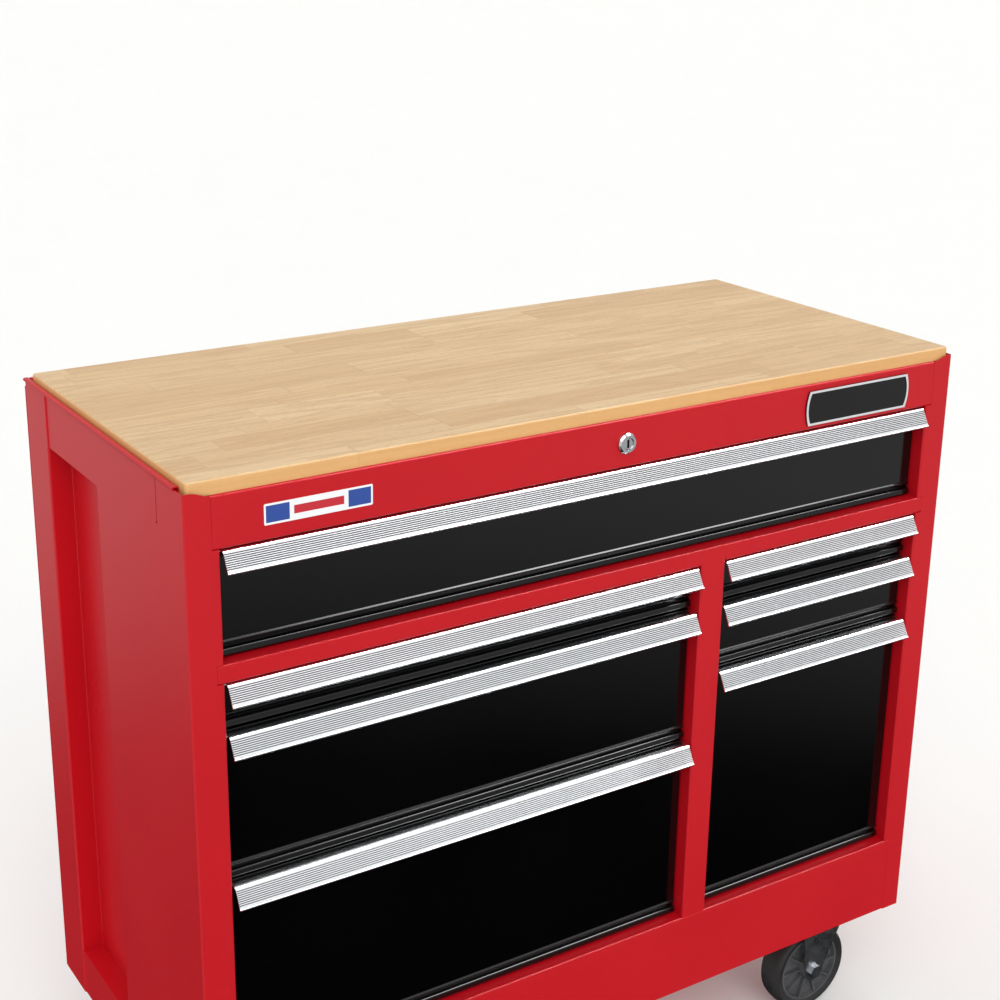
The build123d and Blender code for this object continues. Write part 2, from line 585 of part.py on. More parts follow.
def lock_bar():
    """Flat bolt that drops behind the top drawer's front when the key is turned."""
    back = FRONT + BOLT_START + BOLT_THICK
    bar = block(LOCK_X - BOLT_HALF_WIDTH, LOCK_X + BOLT_HALF_WIDTH, FRONT + BOLT_START, back,
                TOP_SLOT_TOP + 1.5, LOCK_Z + 21)
    slot = block(LOCK_X - BOLT_SLOT_HALF, LOCK_X + BOLT_SLOT_HALF, FRONT + BOLT_START - 1, back + 1,
                 LOCK_Z - BOLT_SLOT_HALF, LOCK_Z + 17)
    return bar - slot


# ---- casters ------------------------------------------------------------------------------------
def caster_centres():
    """Plate centres: left front, left rear, right front, right rear."""
    xs = (LEFT + CASTER_INSET_X, -LEFT - CASTER_INSET_X)
    ys = (FRONT + CASTER_INSET_Y, BACK - CASTER_INSET_Y)
    return [(x, y) for x in xs for y in ys]


def bolt_places(x, y):
    """The four bolt holes of a caster plate."""
    reach_x, reach_y = PLATE_HOLES
    return [(x + dx, y + dy) for dx in (-reach_x, reach_x) for dy in (-reach_y, reach_y)]


def caster_plate(x, y):
    """Mounting plate with its bolt holes."""
    z0 = CASTER_HEIGHT - PLATE_THICK
    plate = block(x - PLATE_LENGTH / 2, x + PLATE_LENGTH / 2, y - PLATE_DEPTH / 2, y + PLATE_DEPTH / 2,
                  z0, CASTER_HEIGHT)
    plate = fillet(plate.edges().filter_by(Axis.Z), 8)
    for bolt_x, bolt_y in bolt_places(x, y):
        plate -= rod((bolt_x, bolt_y, z0 - 1), PLATE_THICK + 2, BOLT_RADIUS + BOLT_CLEARANCE, "z")
    return plate


def fork_leg(x, y0, y1, top, crown_back, crown_front, wheel_x):
    """One tapered leg from the crown to the axle, with the axle hole."""
    outline = Polyline((x + crown_back, top), (wheel_x - AXLE_BOSS, WHEEL_RADIUS),
                       (wheel_x + AXLE_BOSS, WHEEL_RADIUS), (x + crown_front, top), (x + crown_back, top))
    leg = extrude(Plane.XZ * make_face(outline), amount=y1 - y0, dir=(0, 1, 0))
    leg = Pos(0, y0, 0) * leg + rod((wheel_x, y0, WHEEL_RADIUS), y1 - y0, AXLE_BOSS, "y")
    return leg - rod((wheel_x, y0 - 1, WHEEL_RADIUS), y1 - y0 + 2, AXLE_RADIUS + RUNNING_FIT, "y")


def fork_legs(x, y, top, crown_back, crown_front, wheel_x):
    """Both legs of one fork."""
    inner = FORK_GAP / 2
    near = fork_leg(x, y - FORK_OUTER, y - inner, top, crown_back, crown_front, wheel_x)
    far = fork_leg(x, y + inner, y + FORK_OUTER, top, crown_back, crown_front, wheel_x)
    return near + far


def swivel_plate(x, y):
    """Plate, raceway and riveted pin that a swivel fork turns on."""
    z0 = CASTER_HEIGHT - PLATE_THICK
    under = CROWN_TOP + CROWN_GAP
    plate = caster_plate(x, y) + rod((x, y, under), z0 - under, RACEWAY_RADIUS, "z")
    plate += rod((x, y, CROWN_TOP - 9), 12, PIN_RADIUS, "z")
    return plate + rod((x, y, CROWN_TOP - 8), 4.6, PIN_HEAD_RADIUS, "z")


def swivel_fork(x, y):
    """Crown and legs, trailing towards the middle of the cabinet."""
    back, front = SWIVEL_CROWN
    crown = block(x + back, x + front, y - FORK_OUTER, y + FORK_OUTER, CROWN_TOP - 3, CROWN_TOP)
    crown = fillet(crown.edges().filter_by(Axis.Z), 10)
    crown -= rod((x, y, CROWN_TOP - 4), 6, PIN_RADIUS + RUNNING_FIT, "z")
    fork = crown + fork_legs(x, y, CROWN_TOP - 1, back, front - 6, x - TRAIL)
    pivot_x, pivot_z = BRAKE_PIVOT
    pin_hole = rod((x + pivot_x, y - FORK_OUTER - 1, pivot_z), 2 * FORK_OUTER + 2,
                   BRAKE_PIN_RADIUS + BRAKE_PIN_FIT, "y")
    return fork - pin_hole


def rigid_frame(x, y):
    """Plate and legs of a caster that doesn't swivel."""
    z0 = CASTER_HEIGHT - PLATE_THICK
    half = RIGID_CROWN_HALF
    crown = block(x - half, x + half, y - FORK_OUTER, y + FORK_OUTER, z0 - FORK_SHEET, z0)
    return caster_plate(x, y) + crown + fork_legs(x, y, z0 - 1, -half, half, x)


def caster_axle(x, y):
    """Bolt through the fork and the wheel, with its head and nut."""
    axle = rod((x, y - FORK_OUTER, WHEEL_RADIUS), 2 * FORK_OUTER, AXLE_RADIUS, "y")
    axle += hexagon_bar((x, y - FORK_OUTER - 5, WHEEL_RADIUS), 5, AXLE_FLATS, "y")
    return axle + hexagon_bar((x, y + FORK_OUTER, WHEEL_RADIUS), 6, AXLE_FLATS, "y")


def caster_wheel(x, y):
    """One-piece wheel: rounded tread, dished sides and a hub."""
    rim = WHEEL_WIDTH / 2
    hub = HUB_WIDTH / 2
    bore = AXLE_RADIUS + RUNNING_FIT
    half = [(bore, 0), (bore, hub), (15, hub), (17, 9), (44, 9), (47, rim - 1), (56, rim)]
    shoulder = (WHEEL_RADIUS - 3, rim - 3)
    edge = Polyline(*half, shoulder)
    crown = ThreePointArc(shoulder, (WHEEL_RADIUS, 0), (shoulder[0], -shoulder[1]))
    lower = Polyline((shoulder[0], -shoulder[1]), *[(r, -a) for r, a in reversed(half[1:])], (bore, 0))
    profile = make_face(edge + crown + lower)
    wheel = revolve(Plane.XY * profile, axis=Axis.Y)
    return Pos(x, y, WHEEL_RADIUS) * wheel


def brake_pedal(x, y):
    """Foot lever on two trunnions, with a shoe that bears on the tread."""
    px = x + BRAKE_PIVOT[0]
    pz = BRAKE_PIVOT[1]
    outline = Polyline((px + 5, pz - 4), (px + 5, pz + 4), (px - 8, pz + 6), (px - 40, pz + 2),
                       (px - 47, pz + 5), (px - 48, pz + 2), (px - 40, pz - 3), (px - 13, pz + 0),
                       (px - 11, pz - 12), (px - 6, pz - 10.5), (px + 5, pz - 4))
    reach = FORK_GAP / 2 - 1
    pedal = Pos(0, y - reach, 0) * extrude(Plane.XZ * make_face(outline), amount=2 * reach, dir=(0, 1, 0))
    return pedal + rod((px, y - FORK_OUTER, pz), 2 * FORK_OUTER, BRAKE_PIN_RADIUS, "y")


def caster_bolts():
    """Hexagon bolts and nuts that hold the four plates."""
    bolts = []
    z0 = CASTER_HEIGHT - PLATE_THICK
    for x, y in caster_centres():
        for bolt_x, bolt_y in bolt_places(x, y):
            bolt = hexagon_bar((bolt_x, bolt_y, z0 - 5), 5, BOLT_FLATS, "z")
            bolt += rod((bolt_x, bolt_y, z0), 13, BOLT_RADIUS, "z")
            bolts.append(bolt + hexagon_bar((bolt_x, bolt_y, FLOOR_TOP), 6.5, BOLT_FLATS, "z"))
    return Compound(children=bolts)


# ---- the whole object ---------------------------------------------------------------------------
def save_carcass():
    """Sides, posts, rails, deck, wood and the fixed trim."""
    for name, piece in (("side_panel", side_panel()), ("corner_post", corner_post())):
        save(piece, f"{name}_left")
        save(on_right(piece), f"{name}_right")
    save(back_panel(), "back_panel")
    save(bottom_pan(), "bottom_pan")
    save(top_rail(), "top_rail")
    save(mid_rail(), "mid_rail")
    save(centre_post(), "centre_post")
    save(slide_posts(), "slide_posts")
    save(top_deck(), "top_deck")
    save(wood_top(), "wood_top")
    save(wood_screws(), "wood_screws")
    save(nameplate(), "nameplate")


def save_drawers():
    """Every drawer with its pull and its moving slide members, and the fixed members as one group."""
    fixed_members = []
    for slot in drawer_slots():
        name = f"drawer_{slot['name']}"
        save(drawer_tray(slot), f"{name}_tray")
        save(drawer_pull(slot), f"{name}_pull")
        fixed_members += slide_pair(slot, 0, 9.5, 17.5)
        save(Compound(children=slide_pair(slot, 2.2, 9.5, 15.4)), f"{name}_slide_middle")
        save(Compound(children=slide_pair(slot, SLIDE_DEPTH, 4.6, 13.3)), f"{name}_slide_inner")
    save(Compound(children=fixed_members), "slide_outer_members")


def save_lock():
    """Lock barrel, key plug and bolt."""
    save(lock_housing(), "lock_housing")
    save(lock_plug(), "lock_plug")
    save(lock_bar(), "lock_bar")


def save_casters():
    """Two rigid casters on the left and two braked swivel casters on the right."""
    left_front, left_rear, right_front, right_rear = caster_centres()
    rigid = (left_front, left_rear)
    save(Compound(children=[rigid_frame(*place) for place in rigid]), "rigid_caster_frames")
    save(Compound(children=[caster_axle(*place) for place in rigid]), "rigid_axles")
    save(caster_wheel(*left_front), "wheel_left_front")
    save(caster_wheel(*left_rear), "wheel_left_rear")
    save(Compound(children=[swivel_plate(*place) for place in (right_front, right_rear)]), "swivel_plates")
    for end, (x, y) in (("front", right_front), ("rear", right_rear)):
        save(swivel_fork(x, y), f"swivel_fork_{end}")
        save(caster_axle(x - TRAIL, y), f"swivel_axle_{end}")
        save(caster_wheel(x - TRAIL, y), f"wheel_right_{end}")
        save(brake_pedal(x, y), f"brake_pedal_{end}")
    save(caster_bolts(), "caster_bolts")


os.makedirs("parts", exist_ok=True)
save_carcass()
save_drawers()
save_lock()
save_casters()
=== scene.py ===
"""Rolling workbench cabinet: finishes, hardware, wheels and stage round the fixed frame. Metres, +Z up."""
import math

import bmesh
import bpy
from bpy.props import FloatProperty, FloatVectorProperty, IntProperty, PointerProperty
from mathutils import Euler, Matrix, Vector


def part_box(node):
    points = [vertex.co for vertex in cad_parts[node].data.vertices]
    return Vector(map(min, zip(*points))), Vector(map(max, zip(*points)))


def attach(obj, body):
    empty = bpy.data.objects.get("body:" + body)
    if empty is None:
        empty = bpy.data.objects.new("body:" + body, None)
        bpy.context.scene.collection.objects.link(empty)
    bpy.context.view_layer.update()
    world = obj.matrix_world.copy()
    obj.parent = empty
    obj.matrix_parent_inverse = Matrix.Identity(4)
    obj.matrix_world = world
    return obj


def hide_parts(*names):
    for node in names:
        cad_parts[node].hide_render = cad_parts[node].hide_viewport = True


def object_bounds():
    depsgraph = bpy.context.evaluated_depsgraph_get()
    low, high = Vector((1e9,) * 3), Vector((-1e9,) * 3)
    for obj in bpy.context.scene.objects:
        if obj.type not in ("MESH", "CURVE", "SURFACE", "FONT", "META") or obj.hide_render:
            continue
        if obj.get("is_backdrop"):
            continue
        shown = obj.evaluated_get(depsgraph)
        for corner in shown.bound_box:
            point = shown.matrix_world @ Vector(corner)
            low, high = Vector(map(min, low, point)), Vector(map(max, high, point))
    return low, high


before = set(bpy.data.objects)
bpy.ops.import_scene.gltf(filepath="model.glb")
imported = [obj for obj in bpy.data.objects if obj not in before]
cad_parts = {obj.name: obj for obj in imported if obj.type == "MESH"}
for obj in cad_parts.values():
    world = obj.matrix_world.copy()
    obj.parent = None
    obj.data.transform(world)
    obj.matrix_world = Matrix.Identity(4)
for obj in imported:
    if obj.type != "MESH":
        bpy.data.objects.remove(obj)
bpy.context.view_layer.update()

bl_info = {
    "name": "Rolling workbench cabinet",
    "version": (1, 0, 0),
    "blender": (4, 5, 0),
    "location": "3D View > Sidebar > Workbench",
    "description": "Finishes and details a steel workbench cabinet with a wood top, and sets its stage",
    "category": "Object",
}

DRAWERS = ("top", "left_1", "left_2", "left_3", "right_1", "right_2", "right_3")
CASTER_ENDS = ("front", "rear")
WHEELS = ("left_front", "left_rear", "right_front", "right_rear")
MM = 0.001

# ---- lengths and places that are the same in every cabinet ----------------------------------------
SLIDE_WEB = 6.9 * MM        # from an inner slide's open side to the face that takes the rivets
RIVET_PLACES = (0.06, 0.34, 0.66, 0.94)     # shares of an inner slide's length
BADGE_FIELD = 0.6 * MM      # from the badge's front to its lacquered field
LABEL_DROP = 29.5 * MM      # from the top of the rail to the label's middle
LABEL_FRONT = 0.16 * MM     # from the rail to the label's printed face
LABEL_BACK = 0.01 * MM      # from the rail to the label's back
LABEL_CORNER = 1.5 * MM     # radius of the label's corners
CORNER_STEPS = 6            # straight steps round one corner of the label
TYRE_INSET = 3 * MM         # from the end of a hub to the tyre's side
SHOULDER_DROP = 2.2 * MM    # a tyre's shoulder below its tread
SHOULDER_WIDTH = 3 * MM
CROWN_DROP = 0.7 * MM       # the tread's own curve, halfway to the shoulder
WALL_TOP = 5 * MM           # from the tread to the top of a tyre's flat wall
WALL_FOOT = 4 * MM          # from the core to the foot of that wall
WALL_LEAN = 0.4 * MM        # how much further in the foot lies than the top
RIM_INSET = 2.4 * MM        # from a tyre's side to the core's rim
RIM_SEAT = 0.2 * MM         # how far the core reaches into the tyre
RIM_WALL = 2.6 * MM         # thickness of the core's rim at its edge
RIM_FOOT = 4 * MM           # and where it meets the web
BORE = 6.4 * MM             # radius round the axle
BOSS = 15 * MM              # radius of the core's boss
BOSS_CHAMFER = 1 * MM
BOSS_FOOT = 2 * MM
WEB = 9 * MM                # half the thickness of the core's web
RIB_OUT = 3 * MM            # from a rib's outer end to the tyre
RIB_INSET = 3.2 * MM        # from a tyre's side to the edge of a rib
GRIP_IN = 8.5 * MM          # from the pedal's low side to its first grip rib
GRIP_DOWN = 4.0 * MM        # from the pedal's top to the same rib
GRIP_STEP = Vector((3.6 * MM, 0, 0.42 * MM))
GRIP_LENGTH = 38 * MM
SOFTBOX = (Vector((0.55, -0.3, 0.78)), 15.0, 9.0)       # way to it, and degrees to where it fades and is full
FRONT_PANEL = (Vector((0.5, -0.74, 0.45)), 30.0, 6.0)   # the same
KEY_WAY = Vector((0.35, 0.75, -0.62))                   # the way the key light travels
SENSOR = 36.0               # millimetres across the camera's sensor
FAR = 200.0                 # metres to which the camera sees


def linear(code):
    """Linear RGBA of an sRGB hex colour."""
    shares = [int(code[place:place + 2], 16) / 255 for place in (1, 3, 5)]
    return tuple(s / 12.92 if s <= 0.04045 else ((s + 0.055) / 1.055) ** 2.4 for s in shares) + (1.0,)


def colour_setting(name, description, code):
    """A colour property whose default is an sRGB hex colour."""
    return FloatVectorProperty(name=name, description=description, subtype="COLOR", size=4,
                               min=0.0, max=1.0, default=linear(code))


def length_setting(name, description, millimetres):
    """A length property whose default is in millimetres."""
    return FloatProperty(name=name, description=description, unit="LENGTH", min=0.0,
                         default=millimetres * MM)


def share_setting(name, description, share):
    """A property from 0 to 1."""
    return FloatProperty(name=name, description=description, subtype="FACTOR", min=0.0, max=1.0,
                         default=share)


class EnamelSettings(bpy.types.PropertyGroup):
    """Powder coats of the sheet steel."""
    red: colour_setting("Carcass red", "Powder coat of the carcass", "#C3101D")
    black: colour_setting("Drawer black", "Powder coat of the drawers, deck and inner posts", "#040405")
    red_roughness: share_setting("Red roughness", "How far the red film blurs a reflection", 0.3)
    black_roughness: share_setting("Black roughness", "How far the black film blurs a reflection", 0.12)
    peel: length_setting("Orange peel", "Width of one dimple of the sprayed film", 2.4)
    cloudiness: length_setting("Cloudiness", "Width of one slow cloud in the film's thickness", 190.0)


class WoodSettings(bpy.types.PropertyGroup):
    """Staves of the glued top."""
    pale: colour_setting("Pale stave", "Lightest stave", "#E4C698")
    middle: colour_setting("Middle stave", "Ordinary stave", "#DAB684")
    dark: colour_setting("Dark stave", "Darkest stave, and the dark of the grain", "#C49A6A")
    edge: colour_setting("Edge", "Warmer wood of the board's edges", "#DDA664")
    line: colour_setting("Glue line", "Joints between staves", "#A67F57")
    contrast: share_setting("Contrast", "How far a dark stave goes to the darkest tone", 0.42)
    figure: share_setting("Figure", "How strongly the growth rings show", 0.45)
    stave_width: length_setting("Stave width", "Usual width of one stave", 38.0)
    stave_length: length_setting("Stave length", "Shortest stave between two butt joints", 210.0)
    fibre: length_setting("Fibre", "Spacing of the fine grain lines across a stave", 1.5)


class MetalSettings(bpy.types.PropertyGroup):
    """Bare and plated metals, and the badge."""
    aluminium: colour_setting("Aluminium", "Clear anodised pulls", "#F0F2F4")
    # painted shade: the dark colour painted on the walls of a pull's grooves, where shade falls
    groove: colour_setting("Groove", "Shaded bottom of a pull's grooves", "#3C3F42")
    pull_lean: FloatProperty(name="Pull lean", subtype="ANGLE", default=math.radians(28.5),
                             description="How far a pull's face leans back from upright")
    groove_lean: FloatProperty(name="Groove lean", subtype="ANGLE", default=math.radians(42.8),
                               description="Angle between a pull's face and a groove's walls")
    zinc: colour_setting("Zinc plate", "Slides, caster frames and bolts", "#B9BCC0")
    chrome: colour_setting("Chrome", "Lock", "#D9D9DC")
    badge_field: colour_setting("Badge field", "Lacquered middle of the blank badge", "#08080A")
    badge_border: colour_setting("Badge border", "Raised bright border of the blank badge", "#E4E6E8")


class LabelSettings(bpy.types.PropertyGroup):
    """A plain colour label on the top rail."""
    width: length_setting("Label width", "Along the rail", 120.0)
    height: length_setting("Label height", "Up the rail", 22.0)
    from_left: length_setting("From the left", "From the cabinet's left side to the label", 86.0)
    ground: colour_setting("Ground", "Vinyl ground and edge", "#EDEEF0")
    blocks: colour_setting("Blocks", "The two end blocks", "#2C4C9A")
    bar: colour_setting("Bar", "The bar between the blocks", "#C32633")


class WheelSettings(bpy.types.PropertyGroup):
    """Tyres and cores of the four casters."""
    tyre: colour_setting("Tyre", "Moulded rubber", "#1D1D1E")
    core: colour_setting("Core", "Moulded polypropylene", "#4A4B4D")
    tyre_depth: length_setting("Tyre depth", "From the tread to the core", 14.0)
    ribs: IntProperty(name="Ribs", description="Stiffening ribs of a core", min=3, max=24, default=10)
    rib_thickness: length_setting("Rib thickness", "Thickness of one rib", 2.4)


class HardwareSettings(bpy.types.PropertyGroup):
    """Rivets, brake pedals and their grip ribs."""
    rivet: length_setting("Rivet head", "Diameter of a slide rivet's head", 5.2)
    rivet_height: length_setting("Rivet height", "How far the head stands off the slide", 1.1)
    grip_rib: length_setting("Grip rib", "Diameter of a rib on the brake pedal", 2.2)
    grip_count: IntProperty(name="Grip ribs", description="Ribs across one pedal", min=1, max=12, default=6)
    pedal: colour_setting("Pedal", "Moulded nylon of the brake pedals", "#242426")


class StageSettings(bpy.types.PropertyGroup):
    """Floor, light and camera."""
    floor: colour_setting("Floor", "Pale studio floor", "#F4F4F2")
    floor_size: length_setting("Floor size", "Side of the square floor", 60000.0)
    level: FloatProperty(name="Level light", min=0.0, default=0.5,
                         description="Light of the studio walls")
    overhead: FloatProperty(name="Overhead light", min=0.0, default=1.0,
                            description="Light of the studio ceiling")
    flagged: FloatProperty(name="Flagged light", min=0.0, default=0.0,
                           description="Low light that the black flags leave in reflections")
    side_wall: FloatProperty(name="Side wall", min=0.0, default=0.33,
                             description="Pale wall on the left, as reflections show it")
    softbox: FloatProperty(name="Softbox", min=0.0, default=15.0,
                           description="High softbox on the right, as reflections show it")
    front_panel: FloatProperty(name="Front panel", min=0.0, default=0.4,
                               description="Broad pale panel in front on the right, as reflections show it")
    key: FloatProperty(name="Key light", min=0.0, default=1.3,
                       description="Large soft light from the front left")
    key_softness: FloatProperty(name="Key softness", subtype="ANGLE", default=math.radians(50),
                                description="Width of the key light as it is seen from the floor")
    eye: FloatVectorProperty(name="Camera place", subtype="TRANSLATION", unit="LENGTH", size=3,
                             default=(-1.083, -1.632, 1.482), description="Where the camera stands")
    heading: FloatProperty(name="Heading", subtype="ANGLE", default=math.radians(32.26),
                           description="Camera's turn from straight ahead to the right")
    dip: FloatProperty(name="Dip", subtype="ANGLE", default=math.radians(17.87),
                       description="Camera's tilt below level")
    roll: FloatProperty(name="Roll", subtype="ANGLE", default=math.radians(0.6),
                        description="Camera's roll about its own axis")
    lens: FloatProperty(name="Lens", unit="CAMERA", min=1.0, default=61.2, description="Focal length")
    shift: FloatVectorProperty(name="Shift", size=2, default=(0.03, -0.06),
                               description="Lens shift across and up")


SETTINGS = {
    "workbench_enamel": EnamelSettings,
    "workbench_wood": WoodSettings,
    "workbench_metal": MetalSettings,
    "workbench_label": LabelSettings,
    "workbench_wheels": WheelSettings,
    "workbench_hardware": HardwareSettings,
    "workbench_stage": StageSettings,
}


# ---- nodes and materials ------------------------------------------------------------------------
MATH = "ShaderNodeMath"
RANGE = "ShaderNodeMapRange"
VECTOR = "ShaderNodeVectorMath"
MIX = "ShaderNodeMix"
BUMP = "ShaderNodeBump"


def add(tree, kind, inputs=(), out=None, **settings):
    """Add one node. The settings are its own. Each input, told by its place or name, is a value or the
    output that feeds it. With out, the result is that output, and otherwise the node."""
    node = tree.nodes.new(kind)
    for name, value in settings.items():
        setattr(node, name, value)
    for key, value in inputs.items() if isinstance(inputs, dict) else enumerate(inputs):
        if isinstance(value, bpy.types.NodeSocket):
            tree.links.new(value, node.inputs[key])
        else:
            node.inputs[key].default_value = value
    return node if out is None else node.outputs[out]


def blank(name, **uniform):
    """A new material with its surface shader, and the values that are the same all over it."""
    material = bpy.data.materials.new(name)
    material.use_nodes = True
    tree = material.node_tree
    tree.nodes.clear()
    surface = add(tree, "ShaderNodeBsdfPrincipled", {key.replace("_", " "): uniform[key] for key in uniform})
    add(tree, "ShaderNodeOutputMaterial", {"Surface": surface.outputs["BSDF"]})
    return material, tree, surface, add(tree, "ShaderNodeTexCoord", out="Object")


def laid_on(tree, surface, **fields):
    """Lead what was worked out into the surface shader."""
    for name, value in fields.items():
        tree.links.new(value, surface.inputs[name.replace("_", " ")])


def grain_in_cells(tree, place, cell, detail=2.0, offset=(0.0, 0.0, 0.0)):
    """A cloudy field whose clouds have a real size along each axis, in metres."""
    scale = tuple(1.0 / side for side in cell)
    inside = add(tree, VECTOR, {0: place, 1: scale, 2: offset}, 0, operation="MULTIPLY_ADD")
    return add(tree, "ShaderNodeTexNoise", {"Vector": inside, "Scale": 1.0, "Detail": detail}, 0)


def powder_coat(name, colour, roughness, specular, peel, cloudiness):
    """Powder-coated sheet steel, sprayed and baked: an even soft gloss with faint orange peel, in slow
    clouds where the film is a little thicker and duller."""
    material, tree, surface, place = blank(name, Specular_IOR_Level=specular)
    cloud = grain_in_cells(tree, place, (cloudiness, cloudiness, cloudiness), 0.0)
    dimples = grain_in_cells(tree, place, (peel, peel, peel), 1.0)
    darker = tuple(channel * 0.9 for channel in colour[:3]) + (1.0,)
    laid_on(tree, surface, Base_Color=add(tree, MIX, {0: cloud, 6: darker, 7: colour}, 2, data_type="RGBA"),
            Roughness=add(tree, RANGE, (cloud, 0.0, 1.0, roughness - 0.04, roughness + 0.04), 0),
            Normal=add(tree, BUMP, {"Strength": 0.08, "Distance": peel * 0.08, "Height": dimples}, 0))
    return material


def stave_layout(tree, place, settings):
    """Which stave a point lies in, and how far it is from that stave's sides and ends, in metres. The
    slow waves make some staves wider or longer than others."""
    row_start = 0.377           # metres by which each row starts further along than the one before
    spread = 2.1                # longest stave over the shortest
    parts = add(tree, "ShaderNodeSeparateXYZ", (place,))
    across = add(tree, MATH, (parts.outputs["Y"], settings.stave_width), 0, operation="DIVIDE")
    bend = add(tree, MATH, (add(tree, MATH, (across, 2.3), 0, operation="MULTIPLY"),), 0, operation="SINE")
    across = add(tree, MATH, (bend, 0.2, across), 0, operation="MULTIPLY_ADD")
    row = add(tree, MATH, (across,), 0, operation="FLOOR")
    row_chance = add(tree, "ShaderNodeTexWhiteNoise", {"W": row}, "Value", noise_dimensions="1D")
    longest = settings.stave_length * spread
    length = add(tree, RANGE, (row_chance, 0.0, 1.0, settings.stave_length, longest), 0)
    start = add(tree, MATH, (row, row_start, parts.outputs["X"]), 0, operation="MULTIPLY_ADD")
    along = add(tree, MATH, (start, length), 0, operation="DIVIDE")
    bend = add(tree, MATH, (add(tree, MATH, (along, 2.7), 0, operation="MULTIPLY"),), 0, operation="SINE")
    along = add(tree, MATH, (bend, 0.22, along), 0, operation="MULTIPLY_ADD")
    column = add(tree, MATH, (along,), 0, operation="FLOOR")
    stave = add(tree, "ShaderNodeCombineXYZ", (row, column), 0)
    to_side = add(tree, MATH, (across, 0.5), 0, operation="PINGPONG")
    to_end = add(tree, MATH, (along, 0.5), 0, operation="PINGPONG")
    return (stave, add(tree, MATH, (to_side, settings.stave_width), 0, operation="MULTIPLY"),
            add(tree, MATH, (to_end, length), 0, operation="MULTIPLY"))


def glued_hardwood(settings):
    """Rubberwood staves, edge-glued, sanded and lacquered satin: each stave has its own tone and grain, with
    fine fibre, slow figure, short dark pores, and thin glue lines drawn a little wide so that they show."""
    material, tree, surface, place = blank("lacquered_rubberwood", Coat_Weight=0.16, Coat_Roughness=0.3)
    stave, to_side, to_end = stave_layout(tree, place, settings)
    chance = add(tree, "ShaderNodeTexWhiteNoise", {"Vector": stave}, noise_dimensions="3D")
    jump = add(tree, VECTOR, {0: chance.outputs["Color"], 1: (37.0, 37.0, 37.0)}, 0, operation="MULTIPLY")
    fibre = settings.fibre
    fine = grain_in_cells(tree, place, (fibre * 45, fibre, fibre), 3.0, jump)
    slow = grain_in_cells(tree, place, (0.32, 0.026, 0.026), 2.0, jump)
    rings = add(tree, MATH, (add(tree, MATH, (slow, 34.0), 0, operation="MULTIPLY"),), 0, operation="SINE")
    specks = grain_in_cells(tree, place, (0.008, 0.0009, 0.0009), 0.0, jump)
    pores = add(tree, RANGE, (specks, 0.66, 0.74, 0.0, 0.4), 0)
    tone = add(tree, "ShaderNodeSeparateColor", (chance.outputs["Color"],), 1)
    dark_share = add(tree, RANGE, (tone, 0.55, 1.0, 0.0, settings.contrast), 0)
    ring_share = add(tree, RANGE, (rings, -0.2, 1.0, 0.0, settings.figure), 0)
    fine_share = add(tree, RANGE, (fine, 0.36, 0.64, 0.0, 0.32), 0)
    side_line = add(tree, RANGE, (to_side, 0.0002, 0.0007, 0.3, 0.0), 0)
    end_line = add(tree, RANGE, (to_end, 0.0003, 0.0009, 0.3, 0.0), 0)
    seams = add(tree, MATH, (side_line, end_line), 0, operation="MAXIMUM")
    facing = add(tree, "ShaderNodeSeparateXYZ", (add(tree, "ShaderNodeNewGeometry", out="Normal"),), 2)
    edge_share = add(tree, RANGE, (facing, 0.8, 0.3, 0.0, 0.8), 0)
    colour = tuple(settings.middle)
    for share, towards in ((chance.outputs["Value"], settings.pale), (dark_share, settings.dark),
                           (ring_share, settings.dark), (fine_share, settings.dark), (pores, settings.line),
                           (seams, settings.line), (edge_share, settings.edge)):
        colour = add(tree, MIX, {0: share, 6: colour, 7: towards}, 2, data_type="RGBA")
    height = add(tree, MATH, (add(tree, MATH, (seams, pores), 0, operation="ADD"), -0.8, fine), 0,
                 operation="MULTIPLY_ADD")
    laid_on(tree, surface, Base_Color=colour, Roughness=add(tree, RANGE, (fine, 0.3, 0.7, 0.38, 0.48), 0),
            Normal=add(tree, BUMP, {"Strength": 0.25, "Distance": 0.0001, "Height": height}, 0))
    return material


def drawn_metal(name, colour, roughness, streak, clouds=0.04):
    """Metal with marks left by its making, as fine streaks or soft clouds with a real size, so that
    highlights break up along them."""
    material, tree, surface, place = blank(name, Metallic=1.0)
    marks = grain_in_cells(tree, place, streak)
    cloud = grain_in_cells(tree, place, (0.03, 0.03, 0.03))
    darker = tuple(channel * (1.0 - 3 * clouds) for channel in colour[:3]) + (1.0,)
    both = add(tree, MATH, (marks, cloud), 0, operation="ADD")
    mixed = add(tree, MATH, (both, 0.5), 0, operation="MULTIPLY")
    share = add(tree, RANGE, (mixed, 0.38, 0.62, 0.0, 1.0), 0)
    laid_on(tree, surface,
            Base_Color=add(tree, MIX, {0: share, 6: darker, 7: colour}, 2, data_type="RGBA"),
            Roughness=add(tree, RANGE, (mixed, 0.35, 0.65, roughness + clouds, roughness - clouds), 0),
            Normal=add(tree, BUMP, {"Strength": 0.12, "Distance": clouds * 0.001, "Height": marks}, 0))
    return material


